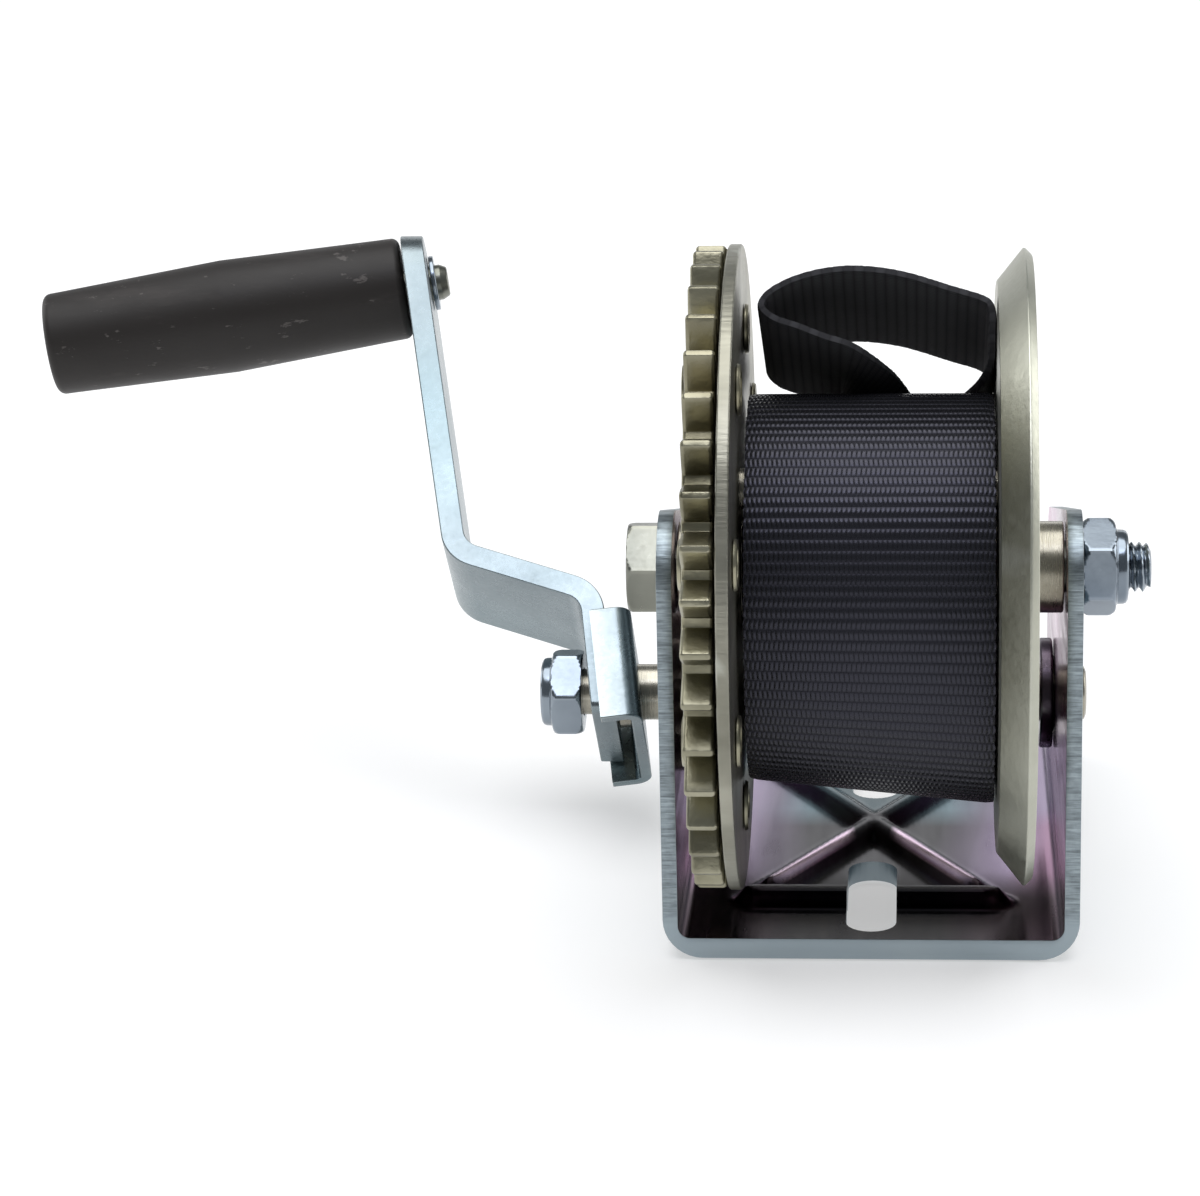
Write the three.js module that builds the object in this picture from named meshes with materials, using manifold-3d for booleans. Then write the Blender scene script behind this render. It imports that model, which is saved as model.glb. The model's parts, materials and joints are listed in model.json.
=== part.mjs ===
// Hand winch for a boat trailer: a bent sheet frame, a geared strap drum on a through bolt,
// and a pinion shaft turned by a cranked handle. Millimetres, +Z up, +X towards the lock nut of
// the drum bolt, +Y towards the pinion. The origin is the centre of the frame's underside.
import * as THREE from 'three';
import { mergeVertices } from 'three/addons/utils/BufferGeometryUtils.js';
import Module from 'manifold-3d';

const wasm = await Module();
wasm.setup();

const DEG = Math.PI / 180;
const GAP = 0.3; // room between fixed neighbours
const RUN = 0.4; // radial room of turning pieces

// Frame: one sheet bent into a U, with two slots and pressed ribs in its base
const SHEET = 3;
const BASE_SHEET = 4.2;
const FRAME_WIDTH = 82;
const BASE_LENGTH = 125;
const BEND_OUTER = 8;
const BEND_INNER = 2.5;
const PLATE_OUT = FRAME_WIDTH / 2;
const PLATE_IN = PLATE_OUT - SHEET;
const PLATE_FRONT_CORNER = { y: -49.5, z: 75, r: 13 };
const PLATE_BACK_CORNER = { r: 9 };
const PLATE_SLOPE = 15.4 * DEG;
const SLOT = { width: 10, length: 39, centre: 38.8 };
const RIB = { top: 3.6, side: 3.4, rise: 2.8 };
const CROSS_RIB = { x: 20, y: 36 };
const BAR_RIB = { x: 25, y: 41.5 };
const GROOVE = { top: 1.4, side: 2.6, rise: 2.6, start: 0.42, end: 1 };

// Drum axis and the through bolt, an M10 with 17 mm hexagons
const DRUM_Y = -42;
const DRUM_Z = 74.7;
const M10 = 4.9;
const THREAD = { pitch: 1.5, depth: 0.85 };
const HEX_FLATS = 17;
const BOLT_HEAD = 6.4;
const BOLT_TIP = 54.7;
const HEX_TURN = { bolt: 48 * DEG, drumNut: 24.5 * DEG, crankNut: 32 * DEG };
const NUT = { hex: 6.4, collar: 2.6, collarRadius: 7.2, insertRadius: 6.3 };
const SPACER_RADIUS = 9;

// Drum: gear, two flanges, core tube, strap
const MODULE = 3;
const GEAR_TEETH = 40;
const PINION_TEETH = 10;
const PRESSURE = 25 * DEG;
const BACKLASH = 0.5;
const GEAR = { x0: -34, x1: -28, tip: 63.2, root: 56.2 };
const LEFT_FLANGE = { x0: -27.4, x1: -24.9, r: 63.5 };
const RIGHT_FLANGE = { x0: 24.6, sheet: 2.4, flat: 57, rim: 62.6, flare: 5.3 };
const CORE = { r: 15, spigot: 12 };
const RIVET = { count: 8, circle: 47, start: 73 * DEG, shank: 4, bore: 2.8, head: 5.1, proud: 0.7 };
const STRAP = { x0: -23.4, x1: 24.2, r: 33.5, slack: 9.5, thick: 1.7 };
const ANCHOR = { r: 4, circle: 22, angle: 120 * DEG };
const TAIL = {
  angle: 60, width: 48, bend: 2.5,
  path: [[14, 35.5], [22.8, 38.5], [22.8, 45], [-3, 54.5], [-21.3, 49], [-21.3, 44.5], [-2, 39]],
};

// Pinion shaft
const SHAFT_Y = 17.5;
const SHAFT_Z = 29;
const SHAFT_RADIUS = 6;
const MESH_ANGLE = Math.atan2(SHAFT_Z - DRUM_Z, SHAFT_Y - DRUM_Y);
const PINION = { x0: -37.2, x1: -28.2, tip: 17.6, root: 11.2 };
const BUSH_RADIUS = 8;
const COLLAR = { r: 11.75, x0: 34.9, x1: 37.7 };

// Crank: bracket, cranked arm and grip, leaning back from the vertical
const CRANK_LEAN = 42 * DEG;
const HUB = { x: -58.4, tilt: 7.5 * DEG };
const BRACKET = { x0: -0.6, x1: 8.1, sheet: 2.4, width: 38, length: 25.5, bend: 3.6, middle: -1.8 };
const ARM = { thick: 5, width: 30, foot: -10.7, tip: 110.3, bend: 7, footRound: 2, tipRound: 13 };
const ARM_KNEE = { x: -60.6, s: 17 };
const ARM_ELBOW = { x: -90.4, s: 26.8 };
const ARM_TILT = 10.1 * DEG;
const CRANK_NUT_FACE = -62.5;
const GRIP = { pin: 100.6, length: 81.7, end: 11.5, middle: 12.8, round: 2.5, bore: 4.4, from: 3.2 };

// Pawl: a sprung lever beside the gear that drops into the free end of the pinion teeth
const PAWL = { y: 44, z: 43.2, x0: -37.2, x1: -34.8, pin: 3, hub: 7 };

const zinc = { color: 0xb9c3c9, roughness: 0.35, metalness: 0.9 };
const oliveZinc = { color: 0x9b9678, roughness: 0.5, metalness: 0.85 };
const paleZinc = { color: 0xc6c8c0, roughness: 0.38, metalness: 0.9 };
const steel = { color: 0xa9a698, roughness: 0.35, metalness: 0.95 };
const darkSteel = { color: 0x4a464c, roughness: 0.45, metalness: 0.8 };
const webbing = { color: 0x17181b, roughness: 0.75, metalness: 0 };
const plastic = { color: 0x161413, roughness: 0.42, metalness: 0 };
const nylon = { color: 0xd7d9d4, roughness: 0.6, metalness: 0 };

const winch = new THREE.Group();
const drumGroup = new THREE.Group();
drumGroup.position.set(0, DRUM_Y, DRUM_Z);
const shaftGroup = new THREE.Group();
shaftGroup.position.set(0, SHAFT_Y, SHAFT_Z);
const crankGroup = new THREE.Group();
crankGroup.rotation.x = -CRANK_LEAN;
shaftGroup.add(crankGroup);
const gripGroup = new THREE.Group();
const hubGroup = new THREE.Group();
hubGroup.position.x = HUB.x;
hubGroup.rotation.y = -HUB.tilt;
crankGroup.add(gripGroup, hubGroup);
winch.add(drumGroup, shaftGroup);

// ---- solids -------------------------------------------------------------------------------

// One closed, welded, outward-facing geometry that holds positions only.
function welded(source) {
  const bare = source.clone();
  bare.deleteAttribute('normal');
  bare.deleteAttribute('uv');
  const merged = mergeVertices(bare, 1e-4);
  const position = merged.attributes.position;
  const corner = [new THREE.Vector3(), new THREE.Vector3(), new THREE.Vector3()];
  const kept = [];
  let volume = 0;
  for (let i = 0; i < merged.index.count; i += 3) {
    const ids = [0, 1, 2].map((k) => merged.index.getX(i + k));
    if (new Set(ids).size < 3) continue;
    ids.forEach((id, k) => corner[k].fromBufferAttribute(position, id));
    volume += corner[0].dot(corner[1].clone().cross(corner[2]));
    kept.push(...ids);
  }
  if (volume < 0) kept.reverse();
  merged.setIndex(kept);
  return merged;
}

function solid(source) {
  const mesh = welded(source);
  return new wasm.Manifold(new wasm.Mesh({
    numProp: 3,
    vertProperties: new Float32Array(mesh.attributes.position.array),
    triVerts: new Uint32Array(mesh.index.array),
  }));
}

function geometryOf(manifold) {
  const mesh = manifold.getMesh();
  const geometry = new THREE.BufferGeometry();
  geometry.setAttribute('position', new THREE.BufferAttribute(new Float32Array(mesh.vertProperties), 3));
  geometry.setIndex(new THREE.BufferAttribute(new Uint32Array(mesh.triVerts), 1));
  return geometry;
}

function piece(parent, name, shape, finish) {
  const geometry = shape.isBufferGeometry ? welded(shape) : geometryOf(shape);
  const mesh = new THREE.Mesh(geometry, new THREE.MeshStandardMaterial(finish));
  mesh.name = name;
  parent.add(mesh);
  return mesh;
}

// Turns a closed or axis-to-axis profile of [x, radius] pairs about the X axis.
function turned(profile, segments = 24) {
  const points = profile.map(([x, r]) => new THREE.Vector2(r, x));
  return new THREE.LatheGeometry(points, segments).rotateZ(-Math.PI / 2);
}

function rod(x0, x1, r, segments = 20, chamfer = 0) {
  const ends = chamfer > 0
    ? [[x0, 0], [x0, r - chamfer], [x0 + chamfer, r], [x1 - chamfer, r], [x1, r - chamfer], [x1, 0]]
    : [[x0, 0], [x0, r], [x1, r], [x1, 0]];
  return turned(ends, segments);
}

function tube(x0, x1, inner, outer, segments = 20) {
  return turned([[x0, inner], [x0, outer], [x1, outer], [x1, inner], [x0, inner]], segments);
}

// A shape drawn in (Y, Z), extruded from x0 to x1.
function plateX(shape, x0, x1, curveSegments = 6) {
  const geometry = new THREE.ExtrudeGeometry(shape, { depth: x1 - x0, bevelEnabled: false, curveSegments });
  const turn = new THREE.Matrix4().makeBasis(
    new THREE.Vector3(0, 1, 0), new THREE.Vector3(0, 0, 1), new THREE.Vector3(1, 0, 0));
  return geometry.applyMatrix4(turn).translate(x0, 0, 0);
}

// A shape drawn in (X, Z), extruded from y0 to y1.
function plateY(shape, y0, y1, curveSegments = 5) {
  const geometry = new THREE.ExtrudeGeometry(shape, { depth: y1 - y0, bevelEnabled: false, curveSegments });
  const turn = new THREE.Matrix4().makeBasis(
    new THREE.Vector3(1, 0, 0), new THREE.Vector3(0, 0, 1), new THREE.Vector3(0, -1, 0));
  return geometry.applyMatrix4(turn).translate(0, y1, 0);
}

function circlePoints(r, sides, y = 0, z = 0) {
  const points = [];
  for (let k = 0; k < sides; k += 1) {
    const [dy, dz] = ringPoint(r, 2 * Math.PI * k / sides);
    points.push(new THREE.Vector2(y + dy, z + dz));
  }
  return points;
}

function circle(r, y = 0, z = 0, sides = 12) {
  return new THREE.Path(circlePoints(r, sides, y, z));
}

function ringPoint(r, angle) {
  return [r * Math.cos(angle), r * Math.sin(angle)];
}

// Hexagonal prism with both rims turned down to a cone, one corner at the angle `turn`.
function hexagon(x0, x1, flats, turn, chamfer) {
  const corner = flats / 2 / Math.cos(30 * DEG);
  const points = [];
  for (let k = 0; k < 6; k += 1) points.push(new THREE.Vector2(...ringPoint(corner, turn + 60 * k * DEG)));
  const prism = solid(plateX(new THREE.Shape(points), x0, x1));
  const inner = flats / 2 - 0.2;
  const drop = chamfer * 0.6;
  const cone = turned([[x0, 0], [x0, inner], [x0 + drop, corner + 0.2], [x1 - drop, corner + 0.2],
    [x1, inner], [x1, 0]], 24);
  return prism.intersect(solid(cone));
}

// Rod end with ring grooves at the pitch of the thread.
function threadedProfile(x0, x1, r) {
  const turns = Math.floor((x1 - x0 - 1) / THREAD.pitch);
  const profile = [];
  for (let k = 0; k < turns; k += 1) {
    const x = x0 + k * THREAD.pitch;
    profile.push([x + 0.1, r - THREAD.depth], [x + THREAD.pitch * 0.5, r]);
  }
  profile.push([x0 + turns * THREAD.pitch, r - THREAD.depth], [x1 - 0.8, r - 0.3], [x1, r - 1]);
  profile.push([x1, 0]);
  return profile;
}

// Lock nut along X: hexagon from `face`, collar beyond it on the side of `sign`, bored through,
// with a pocket for the nylon ring.
function lockNut(face, sign, turn) {
  const hexEnd = face + sign * NUT.hex;
  const end = hexEnd + sign * NUT.collar;
  const body = hexagon(Math.min(face, hexEnd), Math.max(face, hexEnd), HEX_FLATS, turn, 1.6);
  const dome = turned([[face + sign, 0], [face + sign, NUT.collarRadius], [end - sign * 1.2, NUT.collarRadius],
    [end, NUT.collarRadius - 1.2], [end, 0]], 20);
  const bore = rod(Math.min(face, end) - 1, Math.max(face, end) + 1, M10 + GAP);
  const pocketFrom = end - sign * 2.2;
  const pocket = rod(Math.min(pocketFrom, end + sign), Math.max(pocketFrom, end + sign), NUT.insertRadius);
  return body.add(solid(dome)).subtract(solid(bore)).subtract(solid(pocket));
}

function nutInsert(face, sign) {
  const end = face + sign * (NUT.hex + NUT.collar);
  const a = end - sign * (2.2 - GAP);
  const b = end - sign * 0.3;
  return tube(Math.min(a, b), Math.max(a, b), M10 + GAP, NUT.insertRadius - GAP);
}

// Flat bar bent in its own plane: a band of one thickness about a rounded centre line.
function bentBand(corners, bend, thickness, steps = 5) {
  const line = [corners[0].clone()];
  for (let i = 1; i < corners.length - 1; i += 1) {
    const before = corners[i - 1].clone().sub(corners[i]).normalize();
    const after = corners[i + 1].clone().sub(corners[i]).normalize();
    const half = Math.acos(THREE.MathUtils.clamp(before.dot(after), -1, 1)) / 2;
    const reach = bend / Math.tan(half);
    const middle = before.clone().add(after).normalize().multiplyScalar(bend / Math.sin(half)).add(corners[i]);
    const start = before.multiplyScalar(reach).add(corners[i]).sub(middle);
    const sweep = Math.PI - 2 * half;
    const side = Math.sign(start.x * after.y - start.y * after.x);
    for (let k = 0; k <= steps; k += 1) {
      line.push(start.clone().rotateAround(new THREE.Vector2(), side * sweep * k / steps).add(middle));
    }
  }
  line.push(corners[corners.length - 1].clone());
  const left = [];
  const right = [];
  line.forEach((point, i) => {
    const along = line[Math.min(i + 1, line.length - 1)].clone().sub(line[Math.max(i - 1, 0)]).normalize();
    const across = new THREE.Vector2(-along.y, along.x).multiplyScalar(thickness / 2);
    left.push(point.clone().add(across));
    right.unshift(point.clone().sub(across));
  });
  return new THREE.Shape([...left, ...right]);
}

// ---- frame --------------------------------------------------------------------------------

function channelSection() {
  const top = DRUM_Z + 30;
  const flat = PLATE_OUT - BEND_OUTER;
  const inner = PLATE_IN - BEND_INNER;
  const section = new THREE.Shape();
  section.moveTo(-PLATE_OUT, top);
  section.lineTo(-PLATE_OUT, BEND_OUTER);
  section.absarc(-flat, BEND_OUTER, BEND_OUTER, Math.PI, 1.5 * Math.PI, false);
  section.absarc(flat, BEND_OUTER, BEND_OUTER, 1.5 * Math.PI, 2 * Math.PI, false);
  section.lineTo(PLATE_OUT, top);
  section.lineTo(PLATE_IN, top);
  section.absarc(inner, BASE_SHEET + BEND_INNER, BEND_INNER, 2 * Math.PI, 1.5 * Math.PI, true);
  section.absarc(-inner, BASE_SHEET + BEND_INNER, BEND_INNER, 1.5 * Math.PI, Math.PI, true);
  section.lineTo(-PLATE_IN, top);
  return section;
}

// Side outline: upright front edge, round front corner, top edge falling to a round back corner.
function sideOutline() {
  const half = BASE_LENGTH / 2;
  const front = PLATE_FRONT_CORNER;
  const up = Math.PI / 2 - PLATE_SLOPE;
  const [ty, tz] = ringPoint(front.r, up);
  const backY = half - PLATE_BACK_CORNER.r;
  const drop = Math.tan(PLATE_SLOPE);
  const topAtBack = front.z + tz - (backY - front.y - ty) * drop;
  const backZ = topAtBack - PLATE_BACK_CORNER.r / Math.cos(PLATE_SLOPE);
  const outline = new THREE.Shape();
  outline.moveTo(-half, -1);
  outline.lineTo(-half, front.z);
  outline.absarc(front.y, front.z, front.r, Math.PI, up, true);
  outline.absarc(backY, backZ, PLATE_BACK_CORNER.r, up, 0, true);
  outline.lineTo(half, -1);
  return outline;
}

function capsule(halfLength, halfWidth) {
  const shape = new THREE.Shape();
  shape.absarc(halfLength - halfWidth, 0, halfWidth, -Math.PI / 2, Math.PI / 2, false);
  shape.absarc(halfWidth - halfLength, 0, halfWidth, Math.PI / 2, 1.5 * Math.PI, false);
  return shape;
}

// Bevelled bar lying flat with its widest level at z.
function ridge(halfLength, halfWidth, side, rise, z) {
  const depth = 0.2;
  const geometry = new THREE.ExtrudeGeometry(capsule(halfLength, halfWidth), {
    depth, bevelEnabled: true, bevelThickness: rise, bevelSize: side, bevelSegments: 1, curveSegments: 3,
  });
  return geometry.translate(0, 0, z - depth / 2);
}

function slotCutter(y) {
  const half = SLOT.length / 2;
  const geometry = new THREE.ExtrudeGeometry(capsule(half, SLOT.width / 2), {
    depth: 20, bevelEnabled: false, curveSegments: 6,
  });
  return solid(geometry.rotateZ(Math.PI / 2).translate(0, y, -8));
}

function crossRibs() {
  const angle = Math.atan2(CROSS_RIB.y, CROSS_RIB.x);
  const reach = Math.hypot(CROSS_RIB.x, CROSS_RIB.y);
  return [angle, -angle].map((turn) => (
    solid(ridge(reach, RIB.top / 2, RIB.side, RIB.rise, BASE_SHEET).rotateZ(turn))));
}

function barRibs() {
  return [-1, 1].map((side) => (
    solid(ridge(BAR_RIB.x, RIB.top / 2, RIB.side, RIB.rise, BASE_SHEET).translate(0, side * BAR_RIB.y, 0))));
}

// Hollows pressed into the underside below the ribs, stopping short of the centre.
function grooves() {
  const cutters = [];
  const angle = Math.atan2(CROSS_RIB.y, CROSS_RIB.x);
  const reach = Math.hypot(CROSS_RIB.x, CROSS_RIB.y);
  const half = reach * (1 - GROOVE.start) / 2;
  for (const turn of [angle, -angle, angle + Math.PI, Math.PI - angle]) {
    const cutter = ridge(half, GROOVE.top / 2, GROOVE.side, GROOVE.rise, 0);
    cutters.push(solid(cutter.translate(reach - half, 0, 0).rotateZ(turn)));
  }
  for (const side of [-1, 1]) {
    const cutter = ridge(BAR_RIB.x - GROOVE.end, GROOVE.top / 2, GROOVE.side, GROOVE.rise, 0);
    cutters.push(solid(cutter.translate(0, side * BAR_RIB.y, 0)));
  }
  return cutters;
}

function frameSolid() {
  const half = BASE_LENGTH / 2;
  let frame = solid(plateY(channelSection(), -half, half));
  frame = frame.intersect(solid(plateX(sideOutline(), -PLATE_OUT - 1, PLATE_OUT + 1)));
  for (const rib of [...crossRibs(), ...barRibs()]) frame = frame.add(rib);
  for (const cutter of grooves()) frame = frame.subtract(cutter);
  for (const side of [-1, 1]) frame = frame.subtract(slotCutter(side * SLOT.centre));
  const boltHole = rod(-PLATE_OUT - 2, PLATE_OUT + 2, M10 + GAP).translate(0, DRUM_Y, DRUM_Z);
  const shaftHole = rod(-PLATE_OUT - 2, PLATE_OUT + 2, BUSH_RADIUS + GAP).translate(0, SHAFT_Y, SHAFT_Z);
  const pawlHole = rod(-PLATE_OUT - 2, -PLATE_IN + 2, PAWL.pin + GAP, 16).translate(0, PAWL.y, PAWL.z);
  return [boltHole, shaftHole, pawlHole].reduce((body, hole) => body.subtract(solid(hole)), frame);
}

// ---- drum bolt, fixed between the side plates -----------------------------------------------

function drumBolt() {
  const headFace = -PLATE_OUT - GAP;
  const head = hexagon(headFace - BOLT_HEAD, headFace, HEX_FLATS, HEX_TURN.bolt, 1.4);
  const plainEnd = PLATE_OUT + NUT.hex;
  const shank = turned([[headFace - 1, 0], [headFace - 1, M10], [plainEnd, M10],
    ...threadedProfile(plainEnd + 0.5, BOLT_TIP, M10)], 20);
  return head.add(solid(shank));
}

// ---- gears ------------------------------------------------------------------------------------

const involute = (angle) => Math.tan(angle) - angle;

// Involute outline about the origin, with one tooth centred on `phase`.
function gearOutline(teeth, tip, root, phase, undercut) {
  const pitch = MODULE * teeth / 2;
  const base = pitch * Math.cos(PRESSURE);
  const halfPitchTooth = Math.PI / 2 / teeth - BACKLASH / 4 / pitch + involute(PRESSURE);
  const halfAngle = (r) => (r < base
    ? halfPitchTooth - undercut * (base - r) / base
    : halfPitchTooth - involute(Math.acos(base / r)));
  const start = Math.max(base, root + 0.8);
  const radii = [root, ...[0, 0.5, 1].map((t) => start + (tip - 0.3 - start) * t)];
  const points = [];
  for (let k = 0; k < teeth; k += 1) {
    const centre = phase + 2 * Math.PI * k / teeth;
    const tipHalf = halfAngle(tip) - 0.25 / tip;
    radii.forEach((r) => points.push(new THREE.Vector2(...ringPoint(r, centre - halfAngle(r)))));
    points.push(new THREE.Vector2(...ringPoint(tip, centre - tipHalf)));
    points.push(new THREE.Vector2(...ringPoint(tip, centre + tipHalf)));
    [...radii].reverse().forEach((r) => points.push(new THREE.Vector2(...ringPoint(r, centre + halfAngle(r)))));
  }
  return points;
}

function rivetAngle(k) {
  return RIVET.start + 2 * Math.PI * k / RIVET.count;
}

function drumGear() {
  const shape = new THREE.Shape(gearOutline(GEAR_TEETH, GEAR.tip, GEAR.root, MESH_ANGLE, 0));
  shape.holes.push(circle(CORE.spigot + GAP, 0, 0, 24));
  for (let k = 0; k < RIVET.count; k += 1) {
    shape.holes.push(circle(RIVET.shank + GAP, ...ringPoint(RIVET.circle, rivetAngle(k))));
  }
  return plateX(shape, GEAR.x0, GEAR.x1);
}

// ---- drum -------------------------------------------------------------------------------------

function leftFlange() {
  const shape = new THREE.Shape(circlePoints(LEFT_FLANGE.r, 60));
  shape.holes.push(circle(CORE.spigot + GAP, 0, 0, 24));
  shape.holes.push(circle(ANCHOR.r + GAP, ...ringPoint(ANCHOR.circle, ANCHOR.angle)));
  for (let k = 0; k < RIVET.count; k += 1) {
    shape.holes.push(circle(RIVET.shank + GAP, ...ringPoint(RIVET.circle, rivetAngle(k))));
  }
  return plateX(shape, LEFT_FLANGE.x0, LEFT_FLANGE.x1);
}

// Dished disc: flat web, then a rim flared outwards at 45 degrees.
function rightFlange() {
  const f = RIGHT_FLANGE;
  const slant = f.sheet * Math.SQRT1_2;
  const corner = f.sheet * Math.tan(22.5 * DEG);
  const profile = [[f.x0, CORE.spigot + GAP], [f.x0, f.flat - corner],
    [f.x0 + 0.35, f.flat + 0.15], [f.x0 + f.flare, f.rim], [f.x0 + f.flare + slant, f.rim - slant],
    [f.x0 + f.sheet + 0.2, f.flat - corner], [f.x0 + f.sheet, f.flat - 1.6],
    [f.x0 + f.sheet, CORE.spigot + GAP], [f.x0, CORE.spigot + GAP]];
  const [y, z] = ringPoint(ANCHOR.circle, ANCHOR.angle);
  const hole = rod(f.x0 - 2, f.x0 + f.sheet + 2, ANCHOR.r + GAP, 12).translate(0, y, z);
  return solid(turned(profile, 56)).subtract(solid(hole));
}

// Core tube between the flanges, with a spigot through the left flange and gear and one through
// the right flange. It turns on the spacer.
function drumCore() {
  const inner = SPACER_RADIUS + RUN;
  const left = LEFT_FLANGE.x1 + GAP;
  const right = RIGHT_FLANGE.x0 - GAP;
  const leftEnd = GEAR.x0 - 1;
  const rightEnd = RIGHT_FLANGE.x0 + RIGHT_FLANGE.sheet + 1;
  return turned([[leftEnd, inner], [leftEnd, CORE.spigot], [left, CORE.spigot], [left, CORE.r],
    [right, CORE.r], [right, CORE.spigot], [rightEnd, CORE.spigot], [rightEnd, inner], [leftEnd, inner]], 24);
}

// Hollow rivet with a flared lip on each side.
function rivetSolid() {
  const left = GEAR.x0 - GAP;
  const right = LEFT_FLANGE.x1 + GAP;
  return turned([[left - RIVET.proud, RIVET.bore], [left - RIVET.proud, RIVET.head - 0.5],
    [left, RIVET.head], [left, RIVET.shank], [right, RIVET.shank],
    [right, RIVET.head], [right + RIVET.proud, RIVET.head - 0.5],
    [right + RIVET.proud, RIVET.bore], [left - RIVET.proud, RIVET.bore]], 10);
}

// Outer radius of the wound strap: tight over the top, hanging slack below.
function rollRadius(angle) {
  const low = -107 * DEG;
  const away = Math.abs(Math.atan2(Math.sin(angle - low), Math.cos(angle - low)));
  const bulge = away < 100 * DEG ? Math.cos(away / (100 * DEG) * Math.PI / 2) ** 2 : 0;
  return STRAP.r + STRAP.slack * bulge;
}

function strapRoll() {
  const outline = [];
  for (let k = 0; k < 48; k += 1) {
    const angle = k * 7.5 * DEG;
    outline.push(new THREE.Vector2(...ringPoint(rollRadius(angle), angle)));
  }
  const shape = new THREE.Shape(outline);
  shape.holes.push(circle(CORE.r + GAP, 0, 0, 24));
  shape.holes.push(circle(ANCHOR.r + GAP, ...ringPoint(ANCHOR.circle, ANCHOR.angle)));
  return plateX(shape, STRAP.x0, STRAP.x1);
}

// Free end of the strap, tucked between the flanges behind the roll: a hairpin whose runs go
// across the drum and whose width lies along the rims.
function strapTail() {
  const path = TAIL.path.map(([x, out]) => new THREE.Vector2(x, out));
  const band = plateY(bentBand(path, TAIL.bend, STRAP.thick, 5), -TAIL.width / 2, TAIL.width / 2);
  return band.rotateX((TAIL.angle - 90) * DEG);
}

// ---- pinion shaft -------------------------------------------------------------------------

function pinionShaft() {
  const phase = MESH_ANGLE + Math.PI + Math.PI / PINION_TEETH;
  const teeth = plateX(new THREE.Shape(gearOutline(PINION_TEETH, PINION.tip, PINION.root, phase, 0.55)),
    PINION.x0, PINION.x1);
  const stepX = HUB.x + BRACKET.x1 - BRACKET.sheet - GAP;
  const journal = turned([[stepX, 0], [stepX, SHAFT_RADIUS], [PLATE_OUT + 1.6, SHAFT_RADIUS],
    [PLATE_OUT + 3.4, SHAFT_RADIUS - 0.4], [PLATE_OUT + 3.9, SHAFT_RADIUS - 1.2], [PLATE_OUT + 3.9, 0]]);
  const stud = rod(CRANK_NUT_FACE - NUT.hex - 1, stepX + 1, M10, 20, 0.8);
  return solid(teeth).add(solid(journal)).add(solid(stud));
}

// ---- crank ----------------------------------------------------------------------------------

// Bore along the shaft through the tilted hub parts, in the hub's own frame.
function shaftBore(radius) {
  return solid(rod(-20, 20, radius).rotateY(HUB.tilt));
}

function sleeveSolid() {
  const body = rod(ARM.thick / 2 + GAP, BRACKET.x1 - BRACKET.sheet - GAP, 8.2);
  return solid(body).subtract(shaftBore(SHAFT_RADIUS + GAP));
}

function bracketSolid() {
  const { x0, x1, sheet, width, length, bend, middle } = BRACKET;
  const half = width / 2;
  const inner = bend - sheet;
  const section = new THREE.Shape();
  section.moveTo(x0, -half);
  section.absarc(x1 - bend, bend - half, bend, -Math.PI / 2, 0, false);
  section.absarc(x1 - bend, half - bend, bend, 0, Math.PI / 2, false);
  section.lineTo(x0, half);
  section.lineTo(x0, half - sheet);
  section.absarc(x1 - bend, half - bend, inner, Math.PI / 2, 0, true);
  section.absarc(x1 - bend, bend - half, inner, 0, -Math.PI / 2, true);
  section.lineTo(x0, sheet - half);
  const bar = new THREE.ExtrudeGeometry(section, { depth: length, bevelEnabled: false, curveSegments: 4 });
  return solid(bar.translate(0, 0, middle - length / 2)).subtract(shaftBore(SHAFT_RADIUS + GAP));
}

const armPinX = ARM_ELBOW.x - (GRIP.pin - ARM_ELBOW.s) * Math.tan(ARM_TILT);

function armSolid() {
  const tipX = ARM_ELBOW.x - (ARM.tip - ARM_ELBOW.s) * Math.tan(ARM_TILT);
  const centreLine = [
    new THREE.Vector2(HUB.x - ARM.foot * Math.tan(HUB.tilt), ARM.foot),
    new THREE.Vector2(ARM_KNEE.x, ARM_KNEE.s),
    new THREE.Vector2(ARM_ELBOW.x, ARM_ELBOW.s),
    new THREE.Vector2(tipX, ARM.tip),
  ];
  const bar = plateY(bentBand(centreLine, ARM.bend, ARM.thick), -ARM.width / 2, ARM.width / 2);
  const shaftHole = rod(HUB.x - 10, HUB.x + 10, M10 + GAP);
  const pinHole = rod(-10, 10, 4 + GAP).rotateY(-ARM_TILT).translate(armPinX, 0, GRIP.pin);
  const half = ARM.width / 2;
  const { foot, tip, footRound, tipRound } = ARM;
  const outline = new THREE.Shape();
  outline.absarc(footRound - half, foot + footRound + 0.3, footRound, Math.PI, 1.5 * Math.PI, false);
  outline.absarc(half - footRound, foot + footRound + 0.3, footRound, 1.5 * Math.PI, 2 * Math.PI, false);
  outline.absarc(half - tipRound, tip - tipRound - 0.3, tipRound, 0, Math.PI / 2, false);
  outline.absarc(tipRound - half, tip - tipRound - 0.3, tipRound, Math.PI / 2, Math.PI, false);
  return solid(bar).subtract(solid(shaftHole)).subtract(solid(pinHole))
    .intersect(solid(plateX(outline, -130, -40)));
}

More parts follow.
